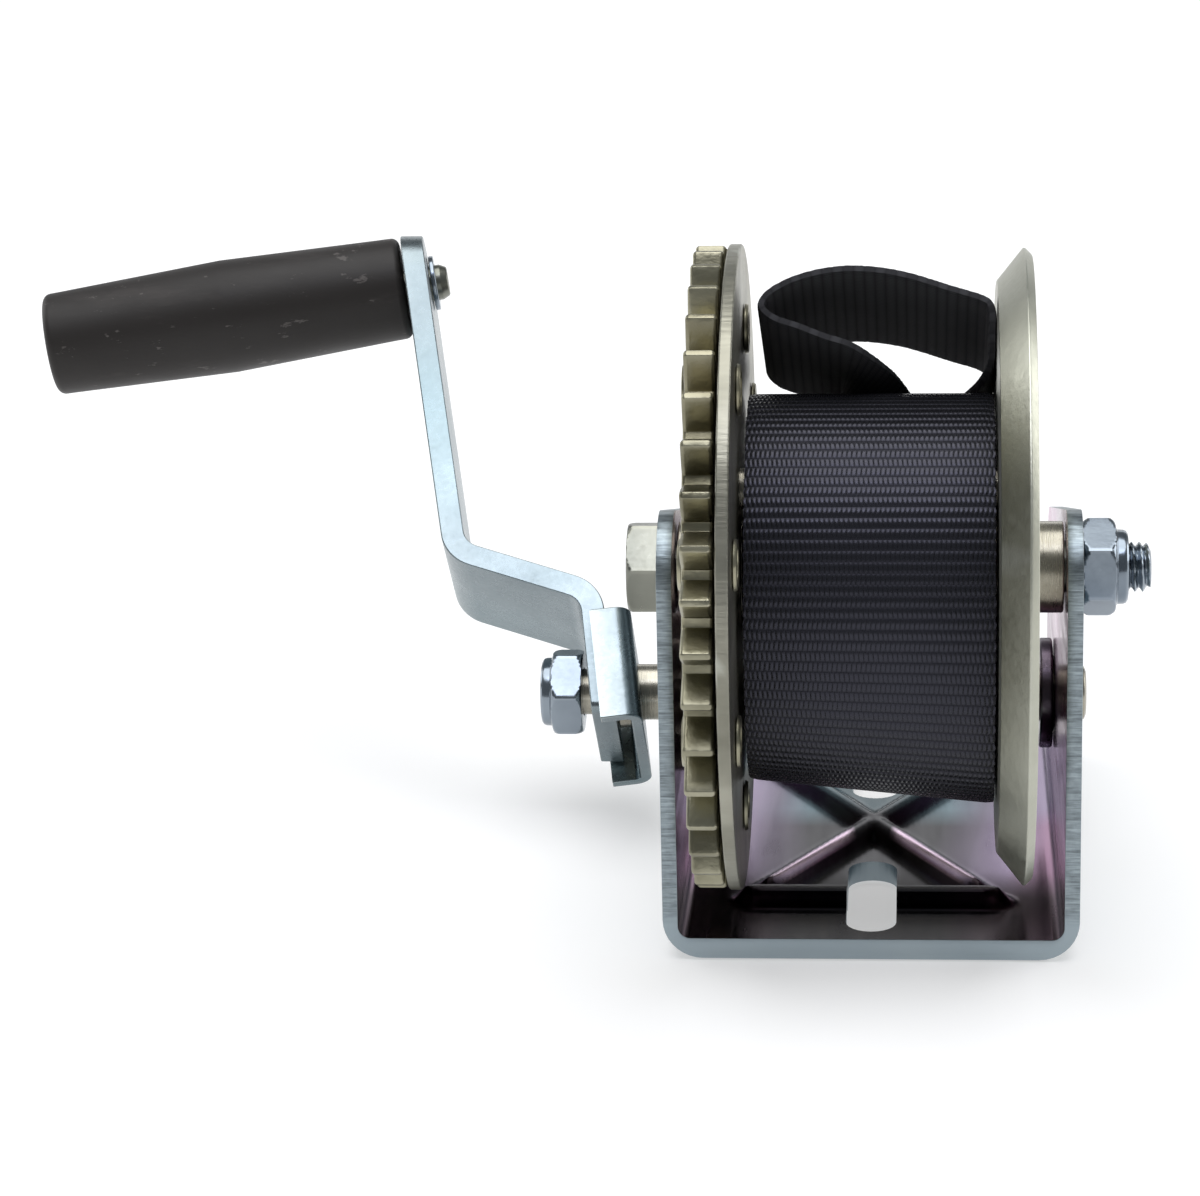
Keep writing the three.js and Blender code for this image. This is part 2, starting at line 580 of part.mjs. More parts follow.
// Grip profile: two shallow cones meeting in the middle, rounded ends, bored for the pin with a
// pocket for the pin's head. It runs towards -X from the arm.
function gripSolid() {
  const { from, length, end, middle, round, bore } = GRIP;
  const pocket = { r: 7.6, depth: 8 };
  const far = from + length;
  const outside = [];
  for (let k = 0; k <= 2; k += 1) {
    const a = k * 45 * DEG;
    outside.push([-(from + round - round * Math.cos(a)), end - round + round * Math.sin(a)]);
  }
  outside.push([-(from + length * 0.46), middle - 0.05], [-(from + length * 0.54), middle]);
  for (let k = 0; k <= 2; k += 1) {
    const a = (90 - k * 45) * DEG;
    outside.push([-(far - round + round * Math.cos(a)), end - round + round * Math.sin(a)]);
  }
  const profile = [[-from, bore], ...outside, [-far, pocket.r], [-(far - pocket.depth), pocket.r],
    [-(far - pocket.depth), bore], [-from, bore]];
  return turned(profile, 24);
}

function gripPin() {
  const face = ARM.thick / 2;
  const headFrom = GRIP.from + GRIP.length - 8 + GAP;
  const headTo = headFrom + 5;
  return turned([[-headTo, 0], [-headTo, 5.6], [-(headTo - 1.2), 6.8], [-headFrom, 6.8], [-headFrom, 4],
    [face + 2.6, 4], [face + 4, 3.3], [face + 4, 0]], 20);
}

// ---- pawl -------------------------------------------------------------------------------------

// Lever about its own pivot: a round hub and a tapered beak that stops just clear of the teeth.
function pawlSolid() {
  const beakY = 23.6 - PAWL.y;
  const beakZ = 46.1 - PAWL.z;
  const shape = new THREE.Shape();
  shape.absarc(0, 0, PAWL.hub, -0.6 * Math.PI, 0.62 * Math.PI, false);
  shape.lineTo(beakY + 2, beakZ + 3.5);
  shape.lineTo(beakY - 1.5, beakZ + 2);
  shape.lineTo(beakY - 1, beakZ);
  shape.lineTo(beakY + 5, beakZ - 2);
  shape.holes.push(circle(PAWL.pin + GAP));
  return plateX(shape, PAWL.x0, PAWL.x1);
}

function pawlPin() {
  const head = -PLATE_OUT - GAP;
  return turned([[head - 2.4, 0], [head - 2.4, 4.6], [head - 1.6, 5.5], [head, 5.5], [head, PAWL.pin],
    [-27.6, PAWL.pin], [-27, PAWL.pin - 0.6], [-27, 0]], 16);
}

// Torsion spring round the pawl pin, with a short leg at each end.
function pawlSpring() {
  const coil = { x0: -34, x1: -30.4, r: 4.5, turns: 2.5 };
  const points = [new THREE.Vector3(coil.x0, coil.r, -9)];
  for (let k = 0; k <= 40; k += 1) {
    const t = k / 40;
    const [y, z] = ringPoint(coil.r, 2 * Math.PI * coil.turns * t);
    points.push(new THREE.Vector3(coil.x0 + (coil.x1 - coil.x0) * t, y, z));
  }
  points.push(new THREE.Vector3(coil.x1, -coil.r, -9));
  const section = new THREE.Shape();
  section.absarc(0, 0, 0.5, 0, 2 * Math.PI, false);
  return new THREE.ExtrudeGeometry(section, {
    steps: 44, extrudePath: new THREE.CatmullRomCurve3(points), curveSegments: 3, bevelEnabled: false,
  });
}

// ---- assembly -----------------------------------------------------------------------------

piece(winch, 'frame', frameSolid(), zinc);
piece(drumGroup, 'drum_bolt', drumBolt(), steel);
piece(drumGroup, 'drum_lock_nut', lockNut(PLATE_OUT + GAP, 1, HEX_TURN.drumNut), zinc);
piece(drumGroup, 'drum_nut_insert', nutInsert(PLATE_OUT + GAP, 1), nylon);
piece(drumGroup, 'drum_spacer_tube', tube(GAP - PLATE_IN, PLATE_IN - GAP, M10 + GAP, SPACER_RADIUS), steel);

piece(drumGroup, 'drum_gear', drumGear(), oliveZinc);
piece(drumGroup, 'left_flange', leftFlange(), paleZinc);
piece(drumGroup, 'right_flange', rightFlange(), paleZinc);
piece(drumGroup, 'drum_core', drumCore(), steel);
for (let k = 0; k < RIVET.count; k += 1) {
  const rivet = piece(drumGroup, `flange_rivet_${k + 1}`, rivetSolid(), oliveZinc);
  const [y, z] = ringPoint(RIVET.circle, rivetAngle(k));
  rivet.position.set(0, y, z);
}
const anchor = piece(drumGroup, 'strap_anchor_pin', rod(LEFT_FLANGE.x0 + GAP,
  RIGHT_FLANGE.x0 + RIGHT_FLANGE.sheet - GAP, ANCHOR.r, 16, 0.5), steel);
anchor.position.set(0, ...ringPoint(ANCHOR.circle, ANCHOR.angle));
piece(drumGroup, 'strap_roll', strapRoll(), webbing);
piece(drumGroup, 'strap_tail', strapTail(), webbing);

piece(shaftGroup, 'pinion_shaft', pinionShaft(), steel);
piece(shaftGroup, 'shaft_bush_left', tube(0.1 - PLATE_OUT, 0.1 - PLATE_IN, SHAFT_RADIUS + GAP, BUSH_RADIUS), steel);
piece(shaftGroup, 'shaft_bush_right', tube(PLATE_IN - 0.1, PLATE_OUT - 0.1, SHAFT_RADIUS + GAP, BUSH_RADIUS), steel);
piece(shaftGroup, 'shaft_collar', tube(COLLAR.x0, COLLAR.x1, SHAFT_RADIUS + GAP, COLLAR.r), darkSteel);
piece(shaftGroup, 'shaft_end_washer', tube(PLATE_OUT + GAP, PLATE_OUT + 1.5, SHAFT_RADIUS + GAP, 8.5), zinc);

piece(hubGroup, 'crank_bracket', bracketSolid(), zinc);
piece(hubGroup, 'crank_sleeve', sleeveSolid(), steel);
piece(crankGroup, 'crank_arm', armSolid(), zinc);
piece(crankGroup, 'crank_lock_nut', lockNut(CRANK_NUT_FACE, -1, HEX_TURN.crankNut), zinc);
piece(crankGroup, 'crank_nut_insert', nutInsert(CRANK_NUT_FACE, -1), nylon);

gripGroup.position.set(armPinX, 0, GRIP.pin);
gripGroup.rotation.y = -ARM_TILT;
piece(gripGroup, 'grip_pin', gripPin(), steel);
piece(gripGroup, 'grip_pin_washer', tube(ARM.thick / 2 + GAP, ARM.thick / 2 + 1.4, 4 + GAP, 6.2), zinc);
piece(gripGroup, 'grip', gripSolid(), plastic);

const pawlGroup = new THREE.Group();
pawlGroup.position.set(0, PAWL.y, PAWL.z);
winch.add(pawlGroup);
piece(pawlGroup, 'pawl', pawlSolid(), darkSteel);
piece(pawlGroup, 'pawl_pin', pawlPin(), steel);
piece(pawlGroup, 'pawl_spring', pawlSpring(), steel);
piece(pawlGroup, 'pawl_pin_clip', tube(-29.2, -28.2, PAWL.pin + GAP, 5.4, 16), steel);

export default winch;
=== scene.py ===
"""Looks of the boat trailer winch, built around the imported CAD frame. Metres, row frame."""

import json
import math
import random

import bmesh
import bpy
from mathutils import Matrix, Vector


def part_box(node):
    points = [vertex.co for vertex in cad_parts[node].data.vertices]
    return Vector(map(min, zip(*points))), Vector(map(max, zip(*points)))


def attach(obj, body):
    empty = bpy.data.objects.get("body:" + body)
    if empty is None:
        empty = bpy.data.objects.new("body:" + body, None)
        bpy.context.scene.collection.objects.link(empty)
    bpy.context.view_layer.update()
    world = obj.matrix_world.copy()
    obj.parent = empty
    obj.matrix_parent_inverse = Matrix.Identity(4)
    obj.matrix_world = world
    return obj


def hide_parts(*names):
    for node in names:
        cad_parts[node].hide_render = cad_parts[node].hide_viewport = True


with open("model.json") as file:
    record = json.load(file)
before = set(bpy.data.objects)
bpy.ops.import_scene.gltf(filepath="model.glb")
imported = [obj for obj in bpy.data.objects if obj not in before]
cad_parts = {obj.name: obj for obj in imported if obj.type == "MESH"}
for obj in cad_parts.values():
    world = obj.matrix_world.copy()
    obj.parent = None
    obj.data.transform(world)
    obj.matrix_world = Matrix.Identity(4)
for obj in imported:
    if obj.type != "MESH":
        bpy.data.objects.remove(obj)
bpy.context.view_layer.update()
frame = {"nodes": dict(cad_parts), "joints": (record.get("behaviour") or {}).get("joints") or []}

MM = 0.001
joints = {j["name"]: j for j in frame["joints"]}
DRUM_AXIS = Vector(joints["drum_spin"]["pos_m"])
SHAFT_AXIS = Vector(joints["crank_spin"]["pos_m"])
GRIP_PIN = Vector(joints["grip_spin"]["pos_m"])
GRIP_WAY = Vector(joints["grip_spin"]["axis"]).normalized()
PAWL_AXIS = Vector(joints["pawl_swing"]["pos_m"])
CRANK_LEAN = math.atan2(GRIP_PIN.y - SHAFT_AXIS.y, GRIP_PIN.z - SHAFT_AXIS.z)
ARM_TILT = math.acos(-GRIP_WAY.x)

# Millimetre frames of the moving groups: X runs along the drum and shaft axes.
SCALE = Matrix.Diagonal((MM, MM, MM, 1))
WORLD = SCALE
DRUM = Matrix.Translation(DRUM_AXIS) @ SCALE
SHAFT = Matrix.Translation(SHAFT_AXIS) @ SCALE
CRANK = Matrix.Translation(SHAFT_AXIS) @ Matrix.Rotation(-CRANK_LEAN, 4, "X") @ SCALE
GRIP = (Matrix.Translation(GRIP_PIN) @ Matrix.Rotation(-CRANK_LEAN, 4, "X")
        @ Matrix.Rotation(-ARM_TILT, 4, "Y") @ SCALE)
HUB_X, HUB_TILT, NUT_FACE = -58.4, math.radians(7.5), -62.5
HUB = CRANK @ Matrix.Translation((HUB_X, 0, 0)) @ Matrix.Rotation(-HUB_TILT, 4, "Y")
PAWL = Matrix.Translation(PAWL_AXIS) @ SCALE


def span(node):
    """Lowest and highest corner of a CAD node in millimetres."""
    low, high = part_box(node)
    return low / MM, high / MM


def added(name, data):
    """A new object, linked to the scene."""
    made = bpy.data.objects.new(name, data)
    bpy.context.scene.collection.objects.link(made)
    return made


def new_mesh(name, verts, faces):
    mesh = bpy.data.meshes.new(name)
    mesh.from_pydata(verts, [], faces)
    return mesh


def baked(thing):
    """Mesh of an object with its modifiers applied."""
    return bpy.data.meshes.new_from_object(thing.evaluated_get(bpy.context.evaluated_depsgraph_get()))


# ---- camera, lights and floor ----

CAMERA_SPOT = Vector((10.7, -797.4, 299.25)) * MM
CAMERA_PITCH = math.radians(17)
CAMERA_SWING = math.radians(4.65)
CAMERA_LENS = 119.85
FLOOR_REACH = 30.0
FLOOR_GAP = 0.0004  # keeps the floor off the underside


def make_camera():
    data = bpy.data.cameras.new("camera")
    data.lens = CAMERA_LENS
    data.sensor_width = 36
    data.clip_start = 0.05
    data.dof.use_dof = False
    camera = added("camera", data)
    right = Vector((1, 0, 0))
    ahead = Vector((0, math.cos(CAMERA_PITCH), -math.sin(CAMERA_PITCH)))
    up = right.cross(ahead)
    turn = Matrix.Rotation(CAMERA_SWING, 3, up)
    right, ahead = turn @ right, turn @ ahead
    camera.matrix_world = Matrix.Translation(CAMERA_SPOT) @ Matrix((right, up, -ahead)).transposed().to_4x4()
    bpy.context.scene.camera = camera


def make_light(name, spot, size, power, target=(0, 0, 0.06), colour=(1, 1, 1)):
    data = bpy.data.lights.new(name, "AREA")
    data.shape = "RECTANGLE"
    data.size, data.size_y = size
    data.energy = power
    data.color = colour
    light = added(name, data)
    light.location = spot
    light.rotation_euler = (Vector(target) - Vector(spot)).to_track_quat("-Z", "Y").to_euler()


def make_sun(name, heading, power, spread):
    data = bpy.data.lights.new(name, "SUN")
    data.energy = power
    data.angle = math.radians(spread)
    light = added(name, data)
    light.rotation_euler = Vector(heading).to_track_quat("-Z", "Y").to_euler()


def make_studio():
    world = bpy.data.worlds.new("studio")
    world.use_nodes = True
    world.node_tree.nodes["Background"].inputs["Color"].default_value = (0.9, 0.95, 1.0, 1)
    world.node_tree.nodes["Background"].inputs["Strength"].default_value = 0.24
    bpy.context.scene.world = world
    bpy.context.scene.view_settings.view_transform = "Standard"
    make_sun("overhead", (0.04, 0.08, -1), 2.35, 60)
    make_light("left_panel", (-0.8, 0.4, 0.35), (0.5, 0.5), 1.8)
    make_light("right_panel", (0.8, 0.3, 0.35), (0.5, 0.5), 2.4)
    make_light("front_top_panel", (0.02, -0.5, 1.1), (0.9, 0.3), 1.1, colour=(0.7, 0.75, 1))
    make_light("back_panel", (0, 1.25, 0.44), (1.3, 0.4), 1.6)
    r = FLOOR_REACH
    floor = added("floor", new_mesh("floor", [(-r, -r, 0), (r, -r, 0), (r, r, 0), (-r, r, 0)], [(0, 1, 2, 3)]))
    floor.location.z = -FLOOR_GAP
    floor.data.materials.append(floor_paint())


# ---- node materials ----

YARN = 0.93  # mm between warp yarns
RIB = 2.1  # mm between weft ribs


class Paint:
    """A material whose node tree is written as nested calls."""

    def __init__(self, name):
        self.material = bpy.data.materials.new(name)
        self.material.use_nodes = True
        self.tree = self.material.node_tree
        self.shader = self.tree.nodes["Principled BSDF"]

    def put(self, socket, value):
        if isinstance(value, bpy.types.NodeSocket):
            self.tree.links.new(value, socket)
        elif isinstance(value, (tuple, list)) and len(value) == 3 and socket.type == "RGBA":
            socket.default_value = (*value, 1)
        else:
            socket.default_value = value

    def node(self, kind, inputs=None, out=0, **settings):
        made = self.tree.nodes.new(kind)
        for key, value in settings.items():
            setattr(made, key, value)
        for key, value in (inputs or {}).items():
            self.put(made.inputs[key], value)
        return made.outputs[out]

    def math(self, operation, a, b=0.0, c=0.0):
        return self.node("ShaderNodeMath", {0: a, 1: b, 2: c}, operation=operation)

    def times(self, a, b):
        return self.math("MULTIPLY", a, b)

    def plus(self, a, b):
        return self.math("ADD", a, b)

    def place(self):
        return self.node("ShaderNodeTexCoord", out=3)

    def uv(self, name):
        return self.node("ShaderNodeUVMap", uv_map=name)

    def split(self, vector, axis):
        return self.node("ShaderNodeSeparateXYZ", {0: vector}, out="XYZ".index(axis))

    def stretched(self, vector, scale, turn=(0, 0, 0)):
        return self.node("ShaderNodeMapping", {"Vector": vector, "Scale": scale, "Rotation": turn})

    def noise(self, scale, detail=3.0, rough=0.55, vector=None):
        return self.node("ShaderNodeTexNoise", {"Vector": vector or self.place(), "Scale": scale,
                                                "Detail": detail, "Roughness": rough})

    def ramp(self, value, stops):
        made = self.tree.nodes.new("ShaderNodeValToRGB")
        self.put(made.inputs[0], value)
        line = made.color_ramp.elements
        while len(line) < len(stops):
            line.new(0.5)
        for element, (spot, colour) in zip(line, stops):
            element.position = spot
            grey = isinstance(colour, (int, float))
            element.color = (colour, colour, colour, 1) if grey else (*colour, 1)
        return made.outputs[0]

    def mix(self, share, a, b, blend="MIX"):
        made = self.tree.nodes.new("ShaderNodeMix")
        made.data_type = "RGBA"
        made.blend_type = blend
        self.put(made.inputs[0], share)
        self.put(made.inputs[6], a)
        self.put(made.inputs[7], b)
        return made.outputs[2]

    def bump(self, height, distance, strength=1.0, below=None):
        inputs = {"Height": height, "Distance": distance, "Strength": strength}
        if below is not None:
            inputs["Normal"] = below
        return self.node("ShaderNodeBump", inputs)

    def finish(self, **sockets):
        for key, value in sockets.items():
            self.put(self.shader.inputs[key.replace("_", " ")], value)
        return self.material


def floor_paint():
    paint = Paint("floor")
    tone = paint.ramp(paint.noise(6), [(0.3, 0.56), (0.7, 0.58)])
    return paint.finish(Base_Color=tone, Roughness=0.75, Emission_Color=(1, 1, 1), Emission_Strength=0.45)


def edge_wear_and_highlight_mask(paint):
    """Brighter along convex edges: partly worn plating, partly a painted highlight."""
    pointy = paint.node("ShaderNodeNewGeometry", out=7)
    return paint.ramp(pointy, [(0.52, 0.0), (0.62, 1.0)])


def plated(name, dark, light, tint, rough, bump=0.00004, grain=900, streak=None, wear_and_highlight=(0.86, 0.88, 0.86)):
    """Zinc plate: cloudy tone, passivation tint in soft patches, fine grain, and bright edges that are partly worn
    plating, partly painted highlight.
    """
    paint = Paint(name)
    cloud = paint.noise(38, 4)
    tone = paint.ramp(cloud, [(0.34, dark), (0.66, light)])
    patch = paint.ramp(paint.noise(17, 2), [(0.42, 0.0), (0.7, 1.0)])
    tone = paint.mix(paint.times(patch, 0.55), tone, tint)
    # convex edges lightened: partly worn plating, partly a painted highlight
    tone = paint.mix(paint.times(edge_wear_and_highlight_mask(paint), 0.6), tone, wear_and_highlight)
    where = paint.stretched(paint.place(), streak) if streak else None
    fine = paint.noise(grain, 3, 0.6, where)
    coarse = paint.noise(grain / 9, 4)
    gloss = paint.ramp(paint.mix(0.5, fine, coarse), [(0.3, rough[0]), (0.7, rough[1])])
    normal = paint.bump(coarse, bump * 2.2, 0.6, paint.bump(fine, bump))
    return paint.finish(Base_Color=tone, Metallic=1.0, Roughness=gloss, Normal=normal)


def cut_edge_paint(name, light, dark, lip):
    """Sheared sheet edge: fine lines across the thickness up the plates, rolled smooth at the base."""
    paint = Paint(name)
    spot = paint.place()
    lines = paint.noise(2800, 2, 0.6, paint.stretched(spot, (0.06, 0.3, 1.0)))
    chips = paint.noise(380, 5, 0.7)
    tone = paint.ramp(paint.mix(0.35, lines, chips), [(0.36, dark), (0.66, light)])
    low = paint.ramp(paint.times(paint.split(spot, "Z"), 40), [(0.28, 1.0), (0.42, 0.0)])
    soft = paint.mix(paint.noise(60, 3), lip, light)
    tone = paint.mix(low, tone, soft)
    height = paint.mix(low, lines, (0.5, 0.5, 0.5))
    normal = paint.bump(height, 0.00008, 0.8, paint.bump(chips, 0.00005, 0.5))
    return paint.finish(Base_Color=tone, Metallic=0.95, Roughness=0.36, Normal=normal)


def iridescence_and_painted_shade_paint():
    """Inside of the frame: thin clear passivation over bright zinc, its purple, lavender and rose tints laid out by
    position with painted reflection and shade: near black in the middle of the base, lighter towards its bends,
    darker low and lighter high up the side plates, with painted highlights on the rib crests."""
    paint = Paint("frame_inside")
    spot = paint.place()
    cloud = paint.noise(16, 3, 0.5, paint.stretched(spot, (1.0, 0.5, 0.8)))
    drift = paint.times(paint.math("SUBTRACT", cloud, 0.5), 0.55)
    side = paint.times(paint.math("ABSOLUTE", paint.split(spot, "X")), 24)
    side = paint.plus(side, drift)
    ahead = paint.times(paint.split(spot, "Y"), 12)
    rise = paint.times(paint.split(spot, "Z"), 11)
    # painted reflection and shade across the base: near black in the middle, lighter lavender towards the bends
    base = paint.ramp(side, [(0.3, (0.012, 0.01, 0.015)), (0.5, (0.09, 0.065, 0.11)), (0.68, (0.32, 0.24, 0.38)),
                             (0.86, (0.34, 0.17, 0.29))])
    # painted shade: a darker strip at the front of the base
    front = paint.ramp(side, [(0.4, (0.012, 0.01, 0.014)), (0.9, (0.09, 0.04, 0.07))])
    # towards the back the same painted dark middle and lighter sides, in teal
    teal = paint.ramp(side, [(0.12, (0.05, 0.085, 0.1)), (0.32, (0.13, 0.2, 0.235)), (0.5, (0.14, 0.12, 0.18)),
                             (0.68, (0.32, 0.25, 0.38))])
    base = paint.mix(paint.ramp(paint.plus(ahead, 0.5), [(0.02, 1.0), (0.2, 0.0)]), base, front)
    base = paint.mix(paint.ramp(ahead, [(0.02, 0.0), (0.15, 1.0)]), base, teal)
    # painted light up the side plates: darker purple low, lighter rose high
    wall = paint.ramp(paint.plus(rise, drift), [(0.1, (0.13, 0.06, 0.11)), (0.38, (0.22, 0.09, 0.17)),
                                                (0.6, (0.5, 0.28, 0.42)), (0.85, (0.55, 0.42, 0.52))])
    # painted highlight along the crests of the cross ribs
    crest_highlight = paint.ramp(paint.times(paint.split(spot, "Z"), 100), [(0.6, 0.0), (0.69, 1.0)])
    legs = paint.ramp(paint.plus(ahead, 0.5), [(0.04, 0.0), (0.1, 1.0), (0.47, 1.0), (0.5, 0.0)])
    legs = paint.mix(1.0, legs, paint.ramp(side, [(0.08, 0.0), (0.13, 1.0)]), "MULTIPLY")
    base = paint.mix(paint.mix(1.0, crest_highlight, legs, "MULTIPLY"), base, (0.95, 0.72, 0.9))
    tone = paint.mix(paint.ramp(rise, [(0.078, 0.0), (0.13, 1.0)]), base, wall)
    brushed = paint.noise(260, 4, 0.6, paint.stretched(spot, (1.0, 0.12, 1.0)))
    scratches = paint.ramp(brushed, [(0.35, 0.75), (0.65, 1.0)])
    tone = paint.mix(0.5, tone, paint.mix(1.0, tone, scratches, "MULTIPLY"))
    gloss = paint.ramp(brushed, [(0.3, 0.16), (0.7, 0.28)])
    normal = paint.bump(brushed, 0.00002, 0.6)
    return paint.finish(Base_Color=tone, Metallic=1.0, Roughness=gloss, Normal=normal)


def webbing_paint(name, tone_low, tone_high, depth, shine, rough):
    """Woven polyester webbing on a UV map in millimetres: U across the strap, V along it."""
    paint = Paint(name)
    uv = paint.uv("weave")
    across = paint.math("DIVIDE", paint.split(uv, "X"), YARN)
    along = paint.math("DIVIDE", paint.split(uv, "Y"), RIB)
    row = paint.math("FLOOR", along)
    odd = paint.math("MODULO", row, 2.0)
    inrow = paint.math("FRACT", along)
    slant = paint.times(paint.math("SUBTRACT", odd, 0.5), paint.math("SUBTRACT", inrow, 0.5))
    lean = paint.times(slant, 0.35)
    column = paint.plus(across, paint.plus(lean, paint.times(odd, 0.5)))
    wave = paint.math("ABSOLUTE", paint.math("SINE", paint.times(column, math.pi)))
    rib = paint.math("SINE", paint.times(inrow, math.pi))
    rib = paint.math("POWER", paint.math("MAXIMUM", rib, 0.001), 0.6)
    yarn = paint.math("POWER", wave, 0.7)
    fibre = paint.noise(1.0, 3, 0.6, paint.stretched(uv, (9.0, 2.2, 1.0)))
    weave = paint.times(rib, paint.plus(0.25, paint.times(yarn, 0.75)))
    height = paint.plus(weave, paint.times(fibre, 0.12))
    # painted shade: the weave's grooves darker than its raised yarns
    tone = paint.ramp(height, [(0.15, tone_low), (0.95, tone_high)])
    worn = paint.ramp(paint.noise(24, 3), [(0.4, 0.85), (0.65, 1.15)])
    tone = paint.mix(1.0, tone, worn, "MULTIPLY")
    gloss = paint.ramp(height, [(0.2, rough[0]), (0.95, rough[1])])
    normal = paint.bump(height, depth, 1.0)
    return paint.finish(Base_Color=tone, Roughness=gloss, Normal=normal, Specular_Tint=(0.78, 0.78, 1),
                        Specular_IOR_Level=shine)


def grip_paint():
    """Moulded black plastic, slightly glossy, with pale scuffs and a fine moulding texture."""
    paint = Paint("grip_plastic")
    scuff = paint.noise(70, 5, 0.75, paint.stretched(paint.place(), (0.25, 1.0, 1.0)))
    marks = paint.ramp(scuff, [(0.56, 0.0), (0.7, 1.0)])
    nicks = paint.ramp(paint.noise(420, 4, 0.7, paint.stretched(paint.place(), (0.35, 0.35, 1.0))),
                       [(0.63, 0.0), (0.68, 1.0)])
    tone = paint.mix(paint.times(marks, 0.5), (0.0165, 0.0135, 0.012), (0.05, 0.043, 0.04))
    tone = paint.mix(paint.times(nicks, 0.35), tone, (0.2, 0.18, 0.17))
    fine = paint.noise(1400, 2)
    broad = paint.noise(45, 3)
    gloss = paint.ramp(paint.mix(0.5, broad, scuff), [(0.35, 0.46), (0.68, 0.62)])
    normal = paint.bump(broad, 0.0003, 0.4, paint.bump(fine, 0.00002))
    return paint.finish(Base_Color=tone, Roughness=gloss, Normal=normal, Specular_IOR_Level=0.36)


def nylon_paint():
    paint = Paint("nylon")
    tone = paint.ramp(paint.noise(90), [(0.35, (0.62, 0.65, 0.62)), (0.65, (0.76, 0.78, 0.74))])
    return paint.finish(Base_Color=tone, Roughness=0.5, Normal=paint.bump(paint.noise(500), 0.00003),
                        Subsurface_Weight=0.1)


def make_paints():
    zinc = ((0.20, 0.24, 0.26), (0.29, 0.34, 0.36), (0.18, 0.27, 0.31))
    bright = ((0.18, 0.22, 0.24), (0.255, 0.3, 0.32), (0.16, 0.24, 0.265))
    blue = ((0.17, 0.20, 0.235), (0.27, 0.31, 0.35), (0.17, 0.225, 0.3))
    olive = ((0.15, 0.142, 0.095), (0.42, 0.405, 0.3), (0.23, 0.2, 0.125))
    pale = ((0.41, 0.415, 0.35), (0.53, 0.535, 0.46), (0.41, 0.405, 0.32))
    rim = ((0.18, 0.175, 0.14), (0.41, 0.40, 0.335), (0.26, 0.25, 0.2))
    yellow = ((0.16, 0.165, 0.142), (0.225, 0.23, 0.2), (0.19, 0.18, 0.14))
    return {
        "frame_zinc": plated("frame_outside", *zinc, (0.24, 0.4)),
        "frame_inside": iridescence_and_painted_shade_paint(),
        "frame_edge": cut_edge_paint("frame_cut_edge", (0.36, 0.42, 0.45), (0.15, 0.175, 0.19), (0.30, 0.36, 0.40)),
        "crank_zinc": plated("crank_zinc", *bright, (0.22, 0.36), wear_and_highlight=(0.44, 0.48, 0.46)),
        "gear_zinc": plated("gear_zinc", *olive, (0.26, 0.48), bump=0.00016, grain=420, wear_and_highlight=(0.5, 0.48, 0.38)),
        "rim_zinc": plated("rim_zinc", *rim, (0.3, 0.46), bump=0.0001, grain=900, streak=(0.1, 1, 1),
                           wear_and_highlight=(0.55, 0.56, 0.5)),
        "flange_zinc": plated("flange_zinc", *pale, (0.3, 0.46), bump=0.00005, grain=700, wear_and_highlight=(0.62, 0.63, 0.58)),
        "nut_zinc": plated("nut_zinc", *blue, (0.12, 0.26), bump=0.000008, wear_and_highlight=(0.5, 0.55, 0.6)),
        "bolt_zinc": plated("bolt_zinc", *yellow, (0.24, 0.4), bump=0.00002, wear_and_highlight=(0.4, 0.4, 0.34)),
        "turned_steel": plated("turned_steel", (0.24, 0.22, 0.17), (0.42, 0.40, 0.34), (0.3, 0.25, 0.16),
                               (0.2, 0.36), grain=600, streak=(6.0, 0.3, 0.3), wear_and_highlight=(0.55, 0.53, 0.46)),
        "dark_steel": plated("dark_steel", (0.07, 0.055, 0.075), (0.17, 0.145, 0.175), (0.19, 0.12, 0.18),
                             (0.2, 0.36), wear_and_highlight=(0.3, 0.3, 0.3)),
        "webbing": webbing_paint("webbing", (0.0015, 0.0015, 0.002), (0.011, 0.0112, 0.0132), 0.00016, 0.46,
                                 (0.6, 0.2)),
        # the loose tail as a lighter copy of the webbing: painted light, the same strap lit brighter than the roll
        "webbing_tail_painted_light": webbing_paint("webbing_tail_painted_light", (0.036, 0.036, 0.039), (0.058, 0.058, 0.063), 0.00003, 0.06,
                                      (0.9, 0.8)),
        "grip_plastic": grip_paint(),
        "nylon": nylon_paint(),
    }


# ---- mesh tools ----

def finish_mesh(name, mesh, matrix, smooth=35, weld=1e-5):
    """Bakes a millimetre mesh into the row frame, welds it and marks edges sharper than `smooth`."""
    work = bmesh.new()
    work.from_mesh(mesh)
    bmesh.ops.remove_doubles(work, verts=work.verts, dist=weld / MM)
    bmesh.ops.dissolve_degenerate(work, edges=work.edges, dist=1e-4)
    bmesh.ops.recalc_face_normals(work, faces=work.faces)
    work.transform(matrix)
    limit = math.radians(smooth)
    for face in work.faces:
        face.smooth = True
    for edge in work.edges:
        edge.smooth = not edge.is_manifold or edge.calc_face_angle(0) < limit
    work.to_mesh(mesh)
    work.free()
    return added(name, mesh)


def dress(piece, body, slot, replaced=(), paints=None):
    """Materials, body and CAD nodes of a finished piece, its normals weighted by face area so
    that large flat faces stay flat beside their rounded edges."""
    change = piece.modifiers.new("normals", "WEIGHTED_NORMAL")
    change.keep_sharp = True
    piece.data = baked(piece)
    piece.modifiers.clear()
    for key in paints or [slot]:
        piece.data.materials.append(PAINTS[key])
    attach(piece, body)
    if replaced:
        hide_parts(*([replaced] if isinstance(replaced, str) else replaced))
    return piece


